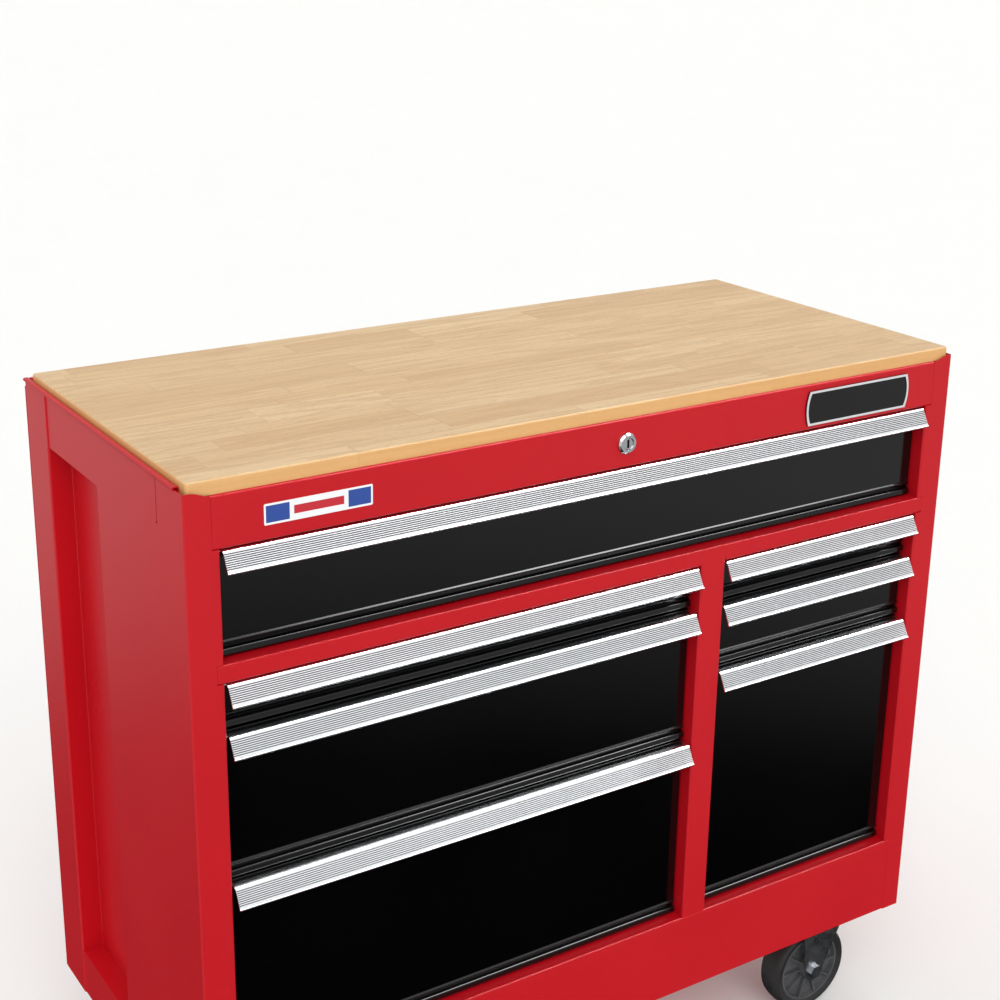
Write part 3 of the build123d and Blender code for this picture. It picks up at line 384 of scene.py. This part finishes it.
def ribbed_aluminium(colour, groove, wall_shades):
    """Clear-anodised extrusion, drawn lengthwise: a soft bright metal with painted shade on its groove walls,
    so the grooves read as fine dark lines. Each slope is that of one groove wall, with how dark its painted
    shade is."""
    tolerance = 0.03            # how near a face's slope has to be to a wall's
    material, tree, surface, place = blank("anodised_aluminium", Metallic=1.0)
    marks = grain_in_cells(tree, place, (0.35, 0.004, 0.004))
    slope = add(tree, "ShaderNodeSeparateXYZ", (add(tree, "ShaderNodeNewGeometry", out="True Normal"),), 2)
    # painted shade: a face whose slope matches a groove wall's is darkened by that wall's share
    shadow = 0.0
    for wall_slope, depth in wall_shades:
        off = add(tree, MATH, (slope, wall_slope, tolerance), 0, operation="COMPARE")
        shadow = add(tree, MATH, (off, depth, shadow), 0, operation="MULTIPLY_ADD")
    darker = tuple(channel * 0.95 for channel in colour[:3]) + (1.0,)
    face = add(tree, MIX, {0: marks, 6: colour, 7: darker}, 2, data_type="RGBA")
    # painted shade: the groove walls are turned towards the groove colour
    laid_on(tree, surface, Base_Color=add(tree, MIX, {0: shadow, 6: face, 7: groove}, 2, data_type="RGBA"),
            Roughness=add(tree, RANGE, (marks, 0.3, 0.7, 0.27, 0.22), 0))
    return material


def moulded_plastic(name, colour, roughness, texture):
    """Moulded rubber or plastic: a fine spark-eroded texture from its mould, duller where it is handled."""
    material, tree, surface, place = blank(name)
    speckle = grain_in_cells(tree, place, (texture, texture, texture))
    cloud = grain_in_cells(tree, place, (0.02, 0.02, 0.02))
    lighter = tuple(channel * 1.35 + 0.004 for channel in colour[:3]) + (1.0,)
    share = add(tree, RANGE, (cloud, 0.4, 0.7, 0.0, 1.0), 0)
    laid_on(tree, surface,
            Base_Color=add(tree, MIX, {0: share, 6: colour, 7: lighter}, 2, data_type="RGBA"),
            Roughness=add(tree, RANGE, (speckle, 0.3, 0.7, roughness - 0.06, roughness + 0.06), 0),
            Normal=add(tree, BUMP, {"Strength": 0.3, "Distance": texture * 0.15, "Height": speckle}, 0))
    return material


def badge_lacquer(settings, field_depth):
    """Die-cast badge, bright on its raised border and filled with black lacquer behind the given depth."""
    material, tree, surface, place = blank("lacquered_badge")
    depth = add(tree, "ShaderNodeSeparateXYZ", (place,), 1)
    raised = add(tree, RANGE, (depth, field_depth, field_depth - 0.0002, 0.0, 1.0), 0)
    brush = grain_in_cells(tree, place, (0.02, 0.0006, 0.0006))
    field = tuple(settings.badge_field)
    border = tuple(settings.badge_border)
    laid_on(tree, surface,
            Base_Color=add(tree, MIX, {0: raised, 6: field, 7: border}, 2, data_type="RGBA"),
            Metallic=add(tree, MATH, (raised, 0.35), 0, operation="MULTIPLY"),
            Roughness=add(tree, RANGE, (brush, 0.3, 0.7, 0.16, 0.28), 0))
    return material


def label_vinyl(settings, low, high):
    """Printed vinyl: two blocks and a bar on a light ground, with no lettering."""
    material, tree, surface, place = blank("printed_vinyl", Specular_IOR_Level=0.45)
    parts = add(tree, "ShaderNodeSeparateXYZ", (place,))
    away = []
    for axis, start, end in (("X", low.x, high.x), ("Z", low.z, high.z)):
        share = add(tree, RANGE, (parts.outputs[axis], start, end, -0.5, 0.5), 0)
        away.append(add(tree, MATH, (share,), 0, operation="ABSOLUTE"))
    from_middle, from_centre = away
    inner = add(tree, MATH, (from_middle, 0.27), 0, operation="GREATER_THAN")
    outer = add(tree, MATH, (from_middle, 0.483), 0, operation="LESS_THAN")
    inside = add(tree, MATH, (from_centre, 0.4), 0, operation="LESS_THAN")
    block = add(tree, MATH, (add(tree, MATH, (inner, outer), 0, operation="MULTIPLY"), inside), 0,
                operation="MULTIPLY")
    bar_long = add(tree, MATH, (from_middle, 0.23), 0, operation="LESS_THAN")
    bar_high = add(tree, MATH, (from_centre, 0.2), 0, operation="LESS_THAN")
    bar = add(tree, MATH, (bar_long, bar_high), 0, operation="MULTIPLY")
    ground = add(tree, MIX, {0: block, 6: tuple(settings.ground), 7: tuple(settings.blocks)}, 2,
                 data_type="RGBA")
    print_dots = grain_in_cells(tree, place, (0.0008, 0.0008, 0.0008), 1.0)
    laid_on(tree, surface,
            Base_Color=add(tree, MIX, {0: bar, 6: ground, 7: tuple(settings.bar)}, 2, data_type="RGBA"),
            Roughness=add(tree, RANGE, (print_dots, 0.3, 0.7, 0.3, 0.4), 0))
    return material


def studio_floor(settings):
    """Matt painted studio floor, close to the white round it, with a faint mottle."""
    material, tree, surface, place = blank("painted_floor", Specular_IOR_Level=0.2, Roughness=0.75)
    mottle = grain_in_cells(tree, place, (0.4, 0.4, 0.4))
    lower = tuple(channel * 0.985 for channel in settings.floor[:3]) + (1.0,)
    laid_on(tree, surface, Base_Color=add(tree, MIX, {0: mottle, 6: lower, 7: tuple(settings.floor)}, 2,
                                          data_type="RGBA"))
    return material


def finish_node(material, *names):
    """Give carried-over nodes their finish."""
    for name in names:
        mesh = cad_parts[name].data
        mesh.materials.clear()
        mesh.materials.append(material)


# ---- meshes -------------------------------------------------------------------------------------
def piece_from(mesh, name, body, material):
    """Link a mesh as a piece that rides on a body and takes the given finish."""
    mesh.materials.clear()
    mesh.materials.append(material)
    piece = bpy.data.objects.new(name, mesh)
    bpy.context.scene.collection.objects.link(piece)
    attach(piece, body)
    return piece


def baked(piece):
    """The evaluated mesh of an object, as a plain mesh of its own."""
    bpy.context.view_layer.update()
    graph = bpy.context.evaluated_depsgraph_get()
    return bpy.data.meshes.new_from_object(piece.evaluated_get(graph))


def grown(tree, name, vertices, values, body):
    """Run a geometry tree on a mesh of points and keep the result as one plain piece."""
    seed = bpy.data.meshes.new(name)
    seed.from_pydata([tuple(vertex) for vertex in vertices], [], [])
    piece = bpy.data.objects.new(name, seed)
    bpy.context.scene.collection.objects.link(piece)
    modifier = piece.modifiers.new("grow", "NODES")
    modifier.node_group = tree
    sockets = {item.name: item.identifier for item in tree.interface.items_tree if item.in_out == "INPUT"}
    for label, value in values.items():
        modifier[sockets[label]] = value
    piece.update_tag()
    mesh = baked(piece)
    mesh.name = name
    piece.modifiers.clear()
    piece.data = mesh
    bpy.data.meshes.remove(seed)
    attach(piece, body)
    return piece


def tree_with(name, inputs):
    """A geometry tree with named inputs; returns it with its group input."""
    tree = bpy.data.node_groups.new(name, "GeometryNodeTree")
    tree.interface.new_socket("Geometry", in_out="INPUT", socket_type="NodeSocketGeometry")
    for label, kind in inputs:
        tree.interface.new_socket(label, in_out="INPUT", socket_type=f"NodeSocket{kind}")
    tree.interface.new_socket("Geometry", in_out="OUTPUT", socket_type="NodeSocketGeometry")
    return tree, add(tree, "NodeGroupInput").outputs


def close_tree(tree, instances, material, smooth=True):
    """End a geometry tree in real geometry, smooth or flat, with its material."""
    real = add(tree, "GeometryNodeRealizeInstances", (instances,), 0)
    if smooth:
        real = add(tree, "GeometryNodeSetShadeSmooth", {"Geometry": real, "Shade Smooth": True}, 0)
    finished = add(tree, "GeometryNodeSetMaterial", {"Geometry": real, "Material": material}, 0)
    add(tree, "NodeGroupOutput", (finished,))
    return tree


def rivet_tree():
    """Low domed heads, one on each point, turned to face along the slide's side."""
    tree, given = tree_with("rivet_heads", (("Diameter", "Float"), ("Height", "Float"), ("Turn", "Vector"),
                                            ("Material", "Material")))
    ball = add(tree, "GeometryNodeMeshUVSphere", {"Segments": 16, "Rings": 8, "Radius": 0.5}, 0)
    dome = add(tree, MATH, (given["Height"], 2.0), 0, operation="MULTIPLY")
    size = add(tree, "ShaderNodeCombineXYZ", (given["Diameter"], given["Diameter"], dome), 0)
    points = add(tree, "GeometryNodeMeshToPoints", {"Mesh": given["Geometry"]}, 0)
    heads = add(tree, "GeometryNodeInstanceOnPoints",
                {"Points": points, "Instance": ball, "Rotation": given["Turn"], "Scale": size}, 0)
    return close_tree(tree, heads, given["Material"])


def spoke_tree():
    """Radial ribs round each point, in the plane of a wheel that turns about Y."""
    sizes = [(label, "Float") for label in ("Inner radius", "Outer radius", "Thickness", "Width")]
    tree, given = tree_with("core_ribs", (("Count", "Int"), *sizes, ("Centre", "Vector"),
                                          ("Material", "Material")))
    reach = add(tree, MATH, (given["Outer radius"], given["Inner radius"]), 0, operation="SUBTRACT")
    both = add(tree, MATH, (given["Outer radius"], given["Inner radius"]), 0, operation="ADD")
    middle = add(tree, MATH, (both, 0.5), 0, operation="MULTIPLY")
    size = add(tree, "ShaderNodeCombineXYZ", (reach, given["Width"], given["Thickness"]), 0)
    rib = add(tree, "GeometryNodeMeshCube", {"Size": size}, 0)
    outward = add(tree, "ShaderNodeCombineXYZ", (middle,), 0)
    moved = add(tree, "GeometryNodeTransform", {"Geometry": rib, "Translation": outward}, 0)
    ring = add(tree, "GeometryNodePoints", {"Count": given["Count"], "Position": given["Centre"]}, 0)
    number = add(tree, "GeometryNodeInputIndex", out=0)
    step = add(tree, MATH, (math.tau, given["Count"]), 0, operation="DIVIDE")
    angle = add(tree, MATH, (number, step), 0, operation="MULTIPLY")
    turn = add(tree, "ShaderNodeCombineXYZ", {1: angle}, 0)
    ribs = add(tree, "GeometryNodeInstanceOnPoints", {"Points": ring, "Instance": moved, "Rotation": turn}, 0)
    return close_tree(tree, ribs, given["Material"], smooth=False)


def grip_tree():
    """Round grip ribs that lie along Y, one on each point."""
    tree, given = tree_with("grip_ribs", (("Diameter", "Float"), ("Length", "Float"),
                                          ("Material", "Material")))
    radius = add(tree, MATH, (given["Diameter"], 0.5), 0, operation="MULTIPLY")
    bar = add(tree, "GeometryNodeMeshCylinder",
              {"Vertices": 12, "Radius": radius, "Depth": given["Length"]}, 0)
    points = add(tree, "GeometryNodeMeshToPoints", {"Mesh": given["Geometry"]}, 0)
    bars = add(tree, "GeometryNodeInstanceOnPoints",
               {"Points": points, "Instance": bar, "Rotation": (math.pi / 2, 0.0, 0.0)}, 0)
    return close_tree(tree, bars, given["Material"])


def turned(name, profile, centre, steps=72):
    """A closed ring turned about Y from its section, given as (radius, distance along Y)."""
    build = bmesh.new()
    rim = [build.verts.new((centre.x, centre.y + side, centre.z + radius)) for radius, side in profile]
    edges = [build.edges.new((rim[i], rim[(i + 1) % len(rim)])) for i in range(len(rim))]
    bmesh.ops.spin(build, geom=rim + edges, cent=centre, axis=(0, 1, 0), angle=math.tau, steps=steps)
    bmesh.ops.remove_doubles(build, verts=build.verts, dist=1e-6)
    bmesh.ops.recalc_face_normals(build, faces=build.faces)
    mesh = bpy.data.meshes.new(name)
    build.to_mesh(mesh)
    build.free()
    mesh.shade_smooth()
    mesh.set_sharp_from_angle(angle=math.radians(32))
    return mesh


# ---- operators ----------------------------------------------------------------------------------
class WORKBENCH_OT_carcass(bpy.types.Operator):
    """Powder-coat the red carcass sheets"""
    bl_idname = "workbench.carcass"
    bl_label = "Carcass"

    def execute(self, context):
        paint = context.scene.workbench_enamel
        red = powder_coat("red_powder_coat", tuple(paint.red), paint.red_roughness, specular=0.3,
                          peel=paint.peel, cloudiness=paint.cloudiness)
        finish_node(red, "side_panel_left", "side_panel_right", "corner_post_left", "corner_post_right",
                    "back_panel", "bottom_pan", "top_rail", "mid_rail", "centre_post")
        return {"FINISHED"}


class WORKBENCH_OT_drawers(bpy.types.Operator):
    """Powder-coat the black drawers, the deck and the inner posts"""
    bl_idname = "workbench.drawers"
    bl_label = "Drawers"

    def execute(self, context):
        paint = context.scene.workbench_enamel
        black = powder_coat("black_powder_coat", tuple(paint.black), paint.black_roughness, specular=0.5,
                            peel=paint.peel, cloudiness=paint.cloudiness)
        finish_node(black, "slide_posts", "top_deck", *[f"drawer_{name}_tray" for name in DRAWERS])
        return {"FINISHED"}


class WORKBENCH_OT_wood_top(bpy.types.Operator):
    """Give the top its glued staves"""
    bl_idname = "workbench.wood_top"
    bl_label = "Wood top"

    def execute(self, context):
        finish_node(glued_hardwood(context.scene.workbench_wood), "wood_top")
        return {"FINISHED"}


class WORKBENCH_OT_pulls(bpy.types.Operator):
    """Finish the ribbed aluminium pulls"""
    bl_idname = "workbench.pulls"
    bl_label = "Drawer pulls"

    def execute(self, context):
        metal = context.scene.workbench_metal
        lower_wall = math.sin(metal.pull_lean - metal.groove_lean)
        upper_wall = math.sin(metal.pull_lean + metal.groove_lean)
        # painted shade: the lower groove wall, which faces down, is darkened most and the upper wall a little
        wall_shades = ((lower_wall, 0.9), (upper_wall, 0.2))
        pulls = ribbed_aluminium(tuple(metal.aluminium), tuple(metal.groove), wall_shades)
        finish_node(pulls, *[f"drawer_{name}_pull" for name in DRAWERS])
        return {"FINISHED"}


class WORKBENCH_OT_slides(bpy.types.Operator):
    """Plate the slides and rivet their inner members to the drawers"""
    bl_idname = "workbench.slides"
    bl_label = "Slides"

    def execute(self, context):
        metal = context.scene.workbench_metal
        hardware = context.scene.workbench_hardware
        zinc = drawn_metal("zinc_plated_steel", tuple(metal.zinc), roughness=0.34,
                           streak=(0.05, 0.05, 0.002), clouds=0.05)
        members = [f"drawer_{name}_slide_{part}" for name in DRAWERS for part in ("inner", "middle")]
        finish_node(zinc, "slide_outer_members", "lock_bar", "wood_screws", *members)
        tree = rivet_tree()
        for name in DRAWERS:
            low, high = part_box(f"drawer_{name}_slide_inner")
            middle = (low.z + high.z) / 2
            spots = []
            for x in (low.x + SLIDE_WEB, high.x - SLIDE_WEB):
                for share in RIVET_PLACES:
                    spots.append((x, low.y + (high.y - low.y) * share, middle))
            grown(tree, f"slide_rivets_{name}", spots,
                  {"Diameter": hardware.rivet, "Height": hardware.rivet_height,
                   "Turn": (0.0, math.pi / 2, 0.0), "Material": zinc}, f"drawer_{name}")
        return {"FINISHED"}


class WORKBENCH_OT_lock(bpy.types.Operator):
    """Chrome the lock"""
    bl_idname = "workbench.lock"
    bl_label = "Lock"

    def execute(self, context):
        metal = context.scene.workbench_metal
        chrome = drawn_metal("chrome_plate", tuple(metal.chrome), roughness=0.13,
                             streak=(0.004, 0.004, 0.004), clouds=0.02)
        finish_node(chrome, "lock_housing", "lock_plug")
        return {"FINISHED"}


class WORKBENCH_OT_nameplate(bpy.types.Operator):
    """Finish the blank badge"""
    bl_idname = "workbench.nameplate"
    bl_label = "Blank badge"

    def execute(self, context):
        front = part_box("nameplate")[0].y
        finish_node(badge_lacquer(context.scene.workbench_metal, front + BADGE_FIELD), "nameplate")
        return {"FINISHED"}


class WORKBENCH_OT_label(bpy.types.Operator):
    """Stick a plain colour label on the top rail"""
    bl_idname = "workbench.label"
    bl_label = "Plain label"

    def execute(self, context):
        label = context.scene.workbench_label
        rail_low, rail_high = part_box("top_rail")
        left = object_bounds()[0].x + label.from_left
        middle = rail_high.z - LABEL_DROP
        low = Vector((left, rail_low.y - LABEL_FRONT, middle - label.height / 2))
        high = Vector((left + label.width, rail_low.y - LABEL_BACK, middle + label.height / 2))
        build = bmesh.new()
        corners = ((high.x, high.z, 0), (low.x, high.z, 90), (low.x, low.z, 180), (high.x, low.z, 270))
        outline = []
        for x, z, start in corners:
            centre_x = x - LABEL_CORNER if x == high.x else x + LABEL_CORNER
            centre_z = z - LABEL_CORNER if z == high.z else z + LABEL_CORNER
            for step in range(CORNER_STEPS + 1):
                angle = math.radians(start + step * 90 / CORNER_STEPS)
                outline.append(build.verts.new((centre_x + LABEL_CORNER * math.cos(angle), high.y,
                                                centre_z + LABEL_CORNER * math.sin(angle))))
        face = build.faces.new(outline)
        lifted = bmesh.ops.extrude_face_region(build, geom=[face])["geom"]
        for vertex in (item for item in lifted if isinstance(item, bmesh.types.BMVert)):
            vertex.co.y = low.y
        bmesh.ops.recalc_face_normals(build, faces=build.faces)
        mesh = bpy.data.meshes.new("plain_label")
        build.to_mesh(mesh)
        build.free()
        piece_from(mesh, "plain_label", "cabinet", label_vinyl(label, low, high))
        return {"FINISHED"}


class WORKBENCH_OT_casters(bpy.types.Operator):
    """Plate the caster frames, forks, axles and bolts"""
    bl_idname = "workbench.casters"
    bl_label = "Caster frames"

    def execute(self, context):
        metal = context.scene.workbench_metal
        plate = drawn_metal("bright_zinc_frames", tuple(metal.zinc), roughness=0.3,
                            streak=(0.006, 0.006, 0.006), clouds=0.06)
        finish_node(plate, "swivel_plates", "rigid_caster_frames", "rigid_axles", "caster_bolts",
                    *[f"swivel_{part}_{end}" for part in ("fork", "axle") for end in CASTER_ENDS])
        return {"FINISHED"}


class WORKBENCH_OT_wheels(bpy.types.Operator):
    """Build each wheel as a rubber tyre on a ribbed core"""
    bl_idname = "workbench.wheels"
    bl_label = "Wheels"

    def execute(self, context):
        wheels = context.scene.workbench_wheels
        rubber = moulded_plastic("moulded_rubber", tuple(wheels.tyre), roughness=0.62, texture=0.0008)
        plastic = moulded_plastic("moulded_polypropylene", tuple(wheels.core), roughness=0.42, texture=0.0006)
        ribs = spoke_tree()
        for name in WHEELS:
            node = f"wheel_{name}"
            low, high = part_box(node)
            centre = (low + high) / 2
            radius = (high.z - low.z) / 2
            hub = (high.y - low.y) / 2
            side = hub - TYRE_INSET
            bead = radius - wheels.tyre_depth
            crown = [(radius - SHOULDER_DROP, -side + SHOULDER_WIDTH), (radius - CROWN_DROP, -side * 0.5),
                     (radius, 0.0), (radius - CROWN_DROP, side * 0.5),
                     (radius - SHOULDER_DROP, side - SHOULDER_WIDTH)]
            wall = [(radius - WALL_TOP, side), (bead + WALL_FOOT, side - WALL_LEAN), (bead, side - RIM_INSET)]
            section = crown + wall + [(distance, -out) for distance, out in reversed(wall)]
            tyre = piece_from(turned(f"tyre_{name}", section, centre), f"tyre_{name}", node, rubber)
            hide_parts(node)
            half = [(BORE, hub), (BOSS - BOSS_CHAMFER, hub), (BOSS, hub - BOSS_CHAMFER),
                    (BOSS + BOSS_FOOT, WEB), (bead - RIM_FOOT, WEB), (bead - RIM_WALL, side - RIM_INSET),
                    (bead + RIM_SEAT, side - RIM_INSET)]
            section = half + [(distance, -out) for distance, out in reversed(half)]
            core = piece_from(turned(f"core_{name}", section, centre), f"core_{name}", node, plastic)
            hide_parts(node)
            grown(ribs, f"core_ribs_{name}", [(0, 0, 0)],
                  {"Count": wheels.ribs, "Inner radius": BOSS - BOSS_CHAMFER, "Outer radius": bead - RIB_OUT,
                   "Thickness": wheels.rib_thickness, "Width": 2 * (side - RIB_INSET),
                   "Centre": tuple(centre), "Material": plastic}, node)
        return {"FINISHED"}


class WORKBENCH_OT_brakes(bpy.types.Operator):
    """Finish the brake pedals and give them grip ribs"""
    bl_idname = "workbench.brakes"
    bl_label = "Brake pedals"

    def execute(self, context):
        hardware = context.scene.workbench_hardware
        nylon = moulded_plastic("moulded_nylon", tuple(hardware.pedal), roughness=0.5, texture=0.0007)
        tree = grip_tree()
        for end in CASTER_ENDS:
            node = f"brake_pedal_{end}"
            finish_node(nylon, node)
            low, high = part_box(node)
            middle = (low.y + high.y) / 2
            start = Vector((low.x + GRIP_IN, middle, high.z - GRIP_DOWN))
            spots = [start + GRIP_STEP * number for number in range(hardware.grip_count)]
            grown(tree, f"grip_ribs_{end}", spots,
                  {"Diameter": hardware.grip_rib, "Length": GRIP_LENGTH, "Material": nylon},
                  f"brake_{end}")
        return {"FINISHED"}


class WORKBENCH_OT_stage(bpy.types.Operator):
    """Lay the floor, hang the lights and place the camera"""
    bl_idname = "workbench.stage"
    bl_label = "Stage"

    def execute(self, context):
        stage = context.scene.workbench_stage
        scene = context.scene
        scene.view_settings.view_transform = "Standard"
        half = stage.floor_size / 2
        mesh = bpy.data.meshes.new("studio_floor")
        corners = [(-half, -half, 0), (half, -half, 0), (half, half, 0), (-half, half, 0)]
        mesh.from_pydata(corners, [], [(0, 1, 2, 3)])
        mesh.materials.append(studio_floor(stage))
        floor = bpy.data.objects.new("studio_floor", mesh)
        scene.collection.objects.link(floor)
        floor.visible_glossy = False
        floor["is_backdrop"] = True
        world = bpy.data.worlds.new("studio_dome")
        world.use_nodes = True
        dome = world.node_tree
        dome.nodes.clear()
        way = add(dome, "ShaderNodeTexCoord", out="Generated")
        parts = add(dome, "ShaderNodeSeparateXYZ", (way,))
        up = parts.outputs["Z"]
        diffuse = add(dome, RANGE, (up, 0.0, 0.9, stage.level, stage.overhead), 0)
        low = add(dome, RANGE, (up, -0.47, -0.33, stage.flagged, stage.level), 0)
        wall = add(dome, RANGE, (parts.outputs["X"], -0.3, -0.75, 0.0, stage.side_wall), 0)
        high = add(dome, RANGE, (up, 0.0, 0.5, 0.0, 0.25), 0)
        lamps = []
        for (aim, edge, core), strength in ((SOFTBOX, stage.softbox), (FRONT_PANEL, stage.front_panel)):
            aligned = add(dome, VECTOR, (way, aim.normalized()), "Value", operation="DOT_PRODUCT")
            soft_edge = (math.cos(math.radians(edge)), math.cos(math.radians(core)))
            lamps.append(add(dome, RANGE, (aligned, *soft_edge, 0.0, strength), 0))
        mirrored = low
        for part in (wall, high, *lamps):
            mirrored = add(dome, MATH, (mirrored, part), 0, operation="ADD")
        white = (1.0, 1.0, 1.0, 1.0)
        path = add(dome, "ShaderNodeLightPath")
        light = add(dome, "ShaderNodeBackground", (white, diffuse), 0)
        mirror = add(dome, "ShaderNodeBackground", (white, mirrored), 0)
        seen = add(dome, "ShaderNodeBackground", (white, 1.0), 0)
        unseen = add(dome, "ShaderNodeMixShader", (path.outputs["Is Glossy Ray"], light, mirror), 0)
        whole = add(dome, "ShaderNodeMixShader", (path.outputs["Is Camera Ray"], unseen, seen), 0)
        add(dome, "ShaderNodeOutputWorld", (whole,))
        scene.world = world
        key = bpy.data.lights.new("key_light", "SUN")
        key.energy = stage.key
        key.angle = stage.key_softness
        lamp = bpy.data.objects.new("key_light", key)
        lamp.rotation_euler = KEY_WAY.to_track_quat("-Z", "Y").to_euler()
        scene.collection.objects.link(lamp)
        camera_data = bpy.data.cameras.new("camera")
        camera_data.lens = stage.lens
        camera_data.sensor_width = SENSOR
        camera_data.shift_x, camera_data.shift_y = stage.shift
        camera_data.clip_end = FAR
        camera = bpy.data.objects.new("camera", camera_data)
        camera.location = stage.eye
        turn = Euler((math.pi / 2 - stage.dip, 0.0, -stage.heading)).to_matrix()
        camera.rotation_euler = (turn @ Matrix.Rotation(stage.roll, 3, "Z")).to_euler()
        scene.collection.objects.link(camera)
        scene.camera = camera
        return {"FINISHED"}


OPERATORS = (
    WORKBENCH_OT_carcass, WORKBENCH_OT_drawers, WORKBENCH_OT_wood_top, WORKBENCH_OT_pulls,
    WORKBENCH_OT_slides, WORKBENCH_OT_lock, WORKBENCH_OT_nameplate, WORKBENCH_OT_label, WORKBENCH_OT_casters,
    WORKBENCH_OT_wheels, WORKBENCH_OT_brakes, WORKBENCH_OT_stage,
)


class WORKBENCH_PT_panel(bpy.types.Panel):
    """The cabinet's pieces and their settings"""
    bl_label = "Workbench cabinet"
    bl_space_type = "VIEW_3D"
    bl_region_type = "UI"
    bl_category = "Workbench"

    def draw(self, context):
        for operator in OPERATORS:
            self.layout.operator(operator.bl_idname)
        for name, group in SETTINGS.items():
            box = self.layout.box()
            box.label(text=group.__doc__)
            for setting in group.__annotations__:
                box.prop(getattr(context.scene, name), setting)


CLASSES = (*SETTINGS.values(), *OPERATORS, WORKBENCH_PT_panel)


def register():
    """Register every class and hang the settings on the scene."""
    for item in CLASSES:
        bpy.utils.register_class(item)
    for name, group in SETTINGS.items():
        setattr(bpy.types.Scene, name, PointerProperty(type=group))


def unregister():
    """Take the settings and the classes away again."""
    for name in SETTINGS:
        delattr(bpy.types.Scene, name)
    for item in reversed(CLASSES):
        bpy.utils.unregister_class(item)


def main():
    """Make every piece in order."""
    register()
    for operator in OPERATORS:
        group, action = operator.bl_idname.split(".")
        getattr(getattr(bpy.ops, group), action)()


if __name__ == "__main__":
    main()
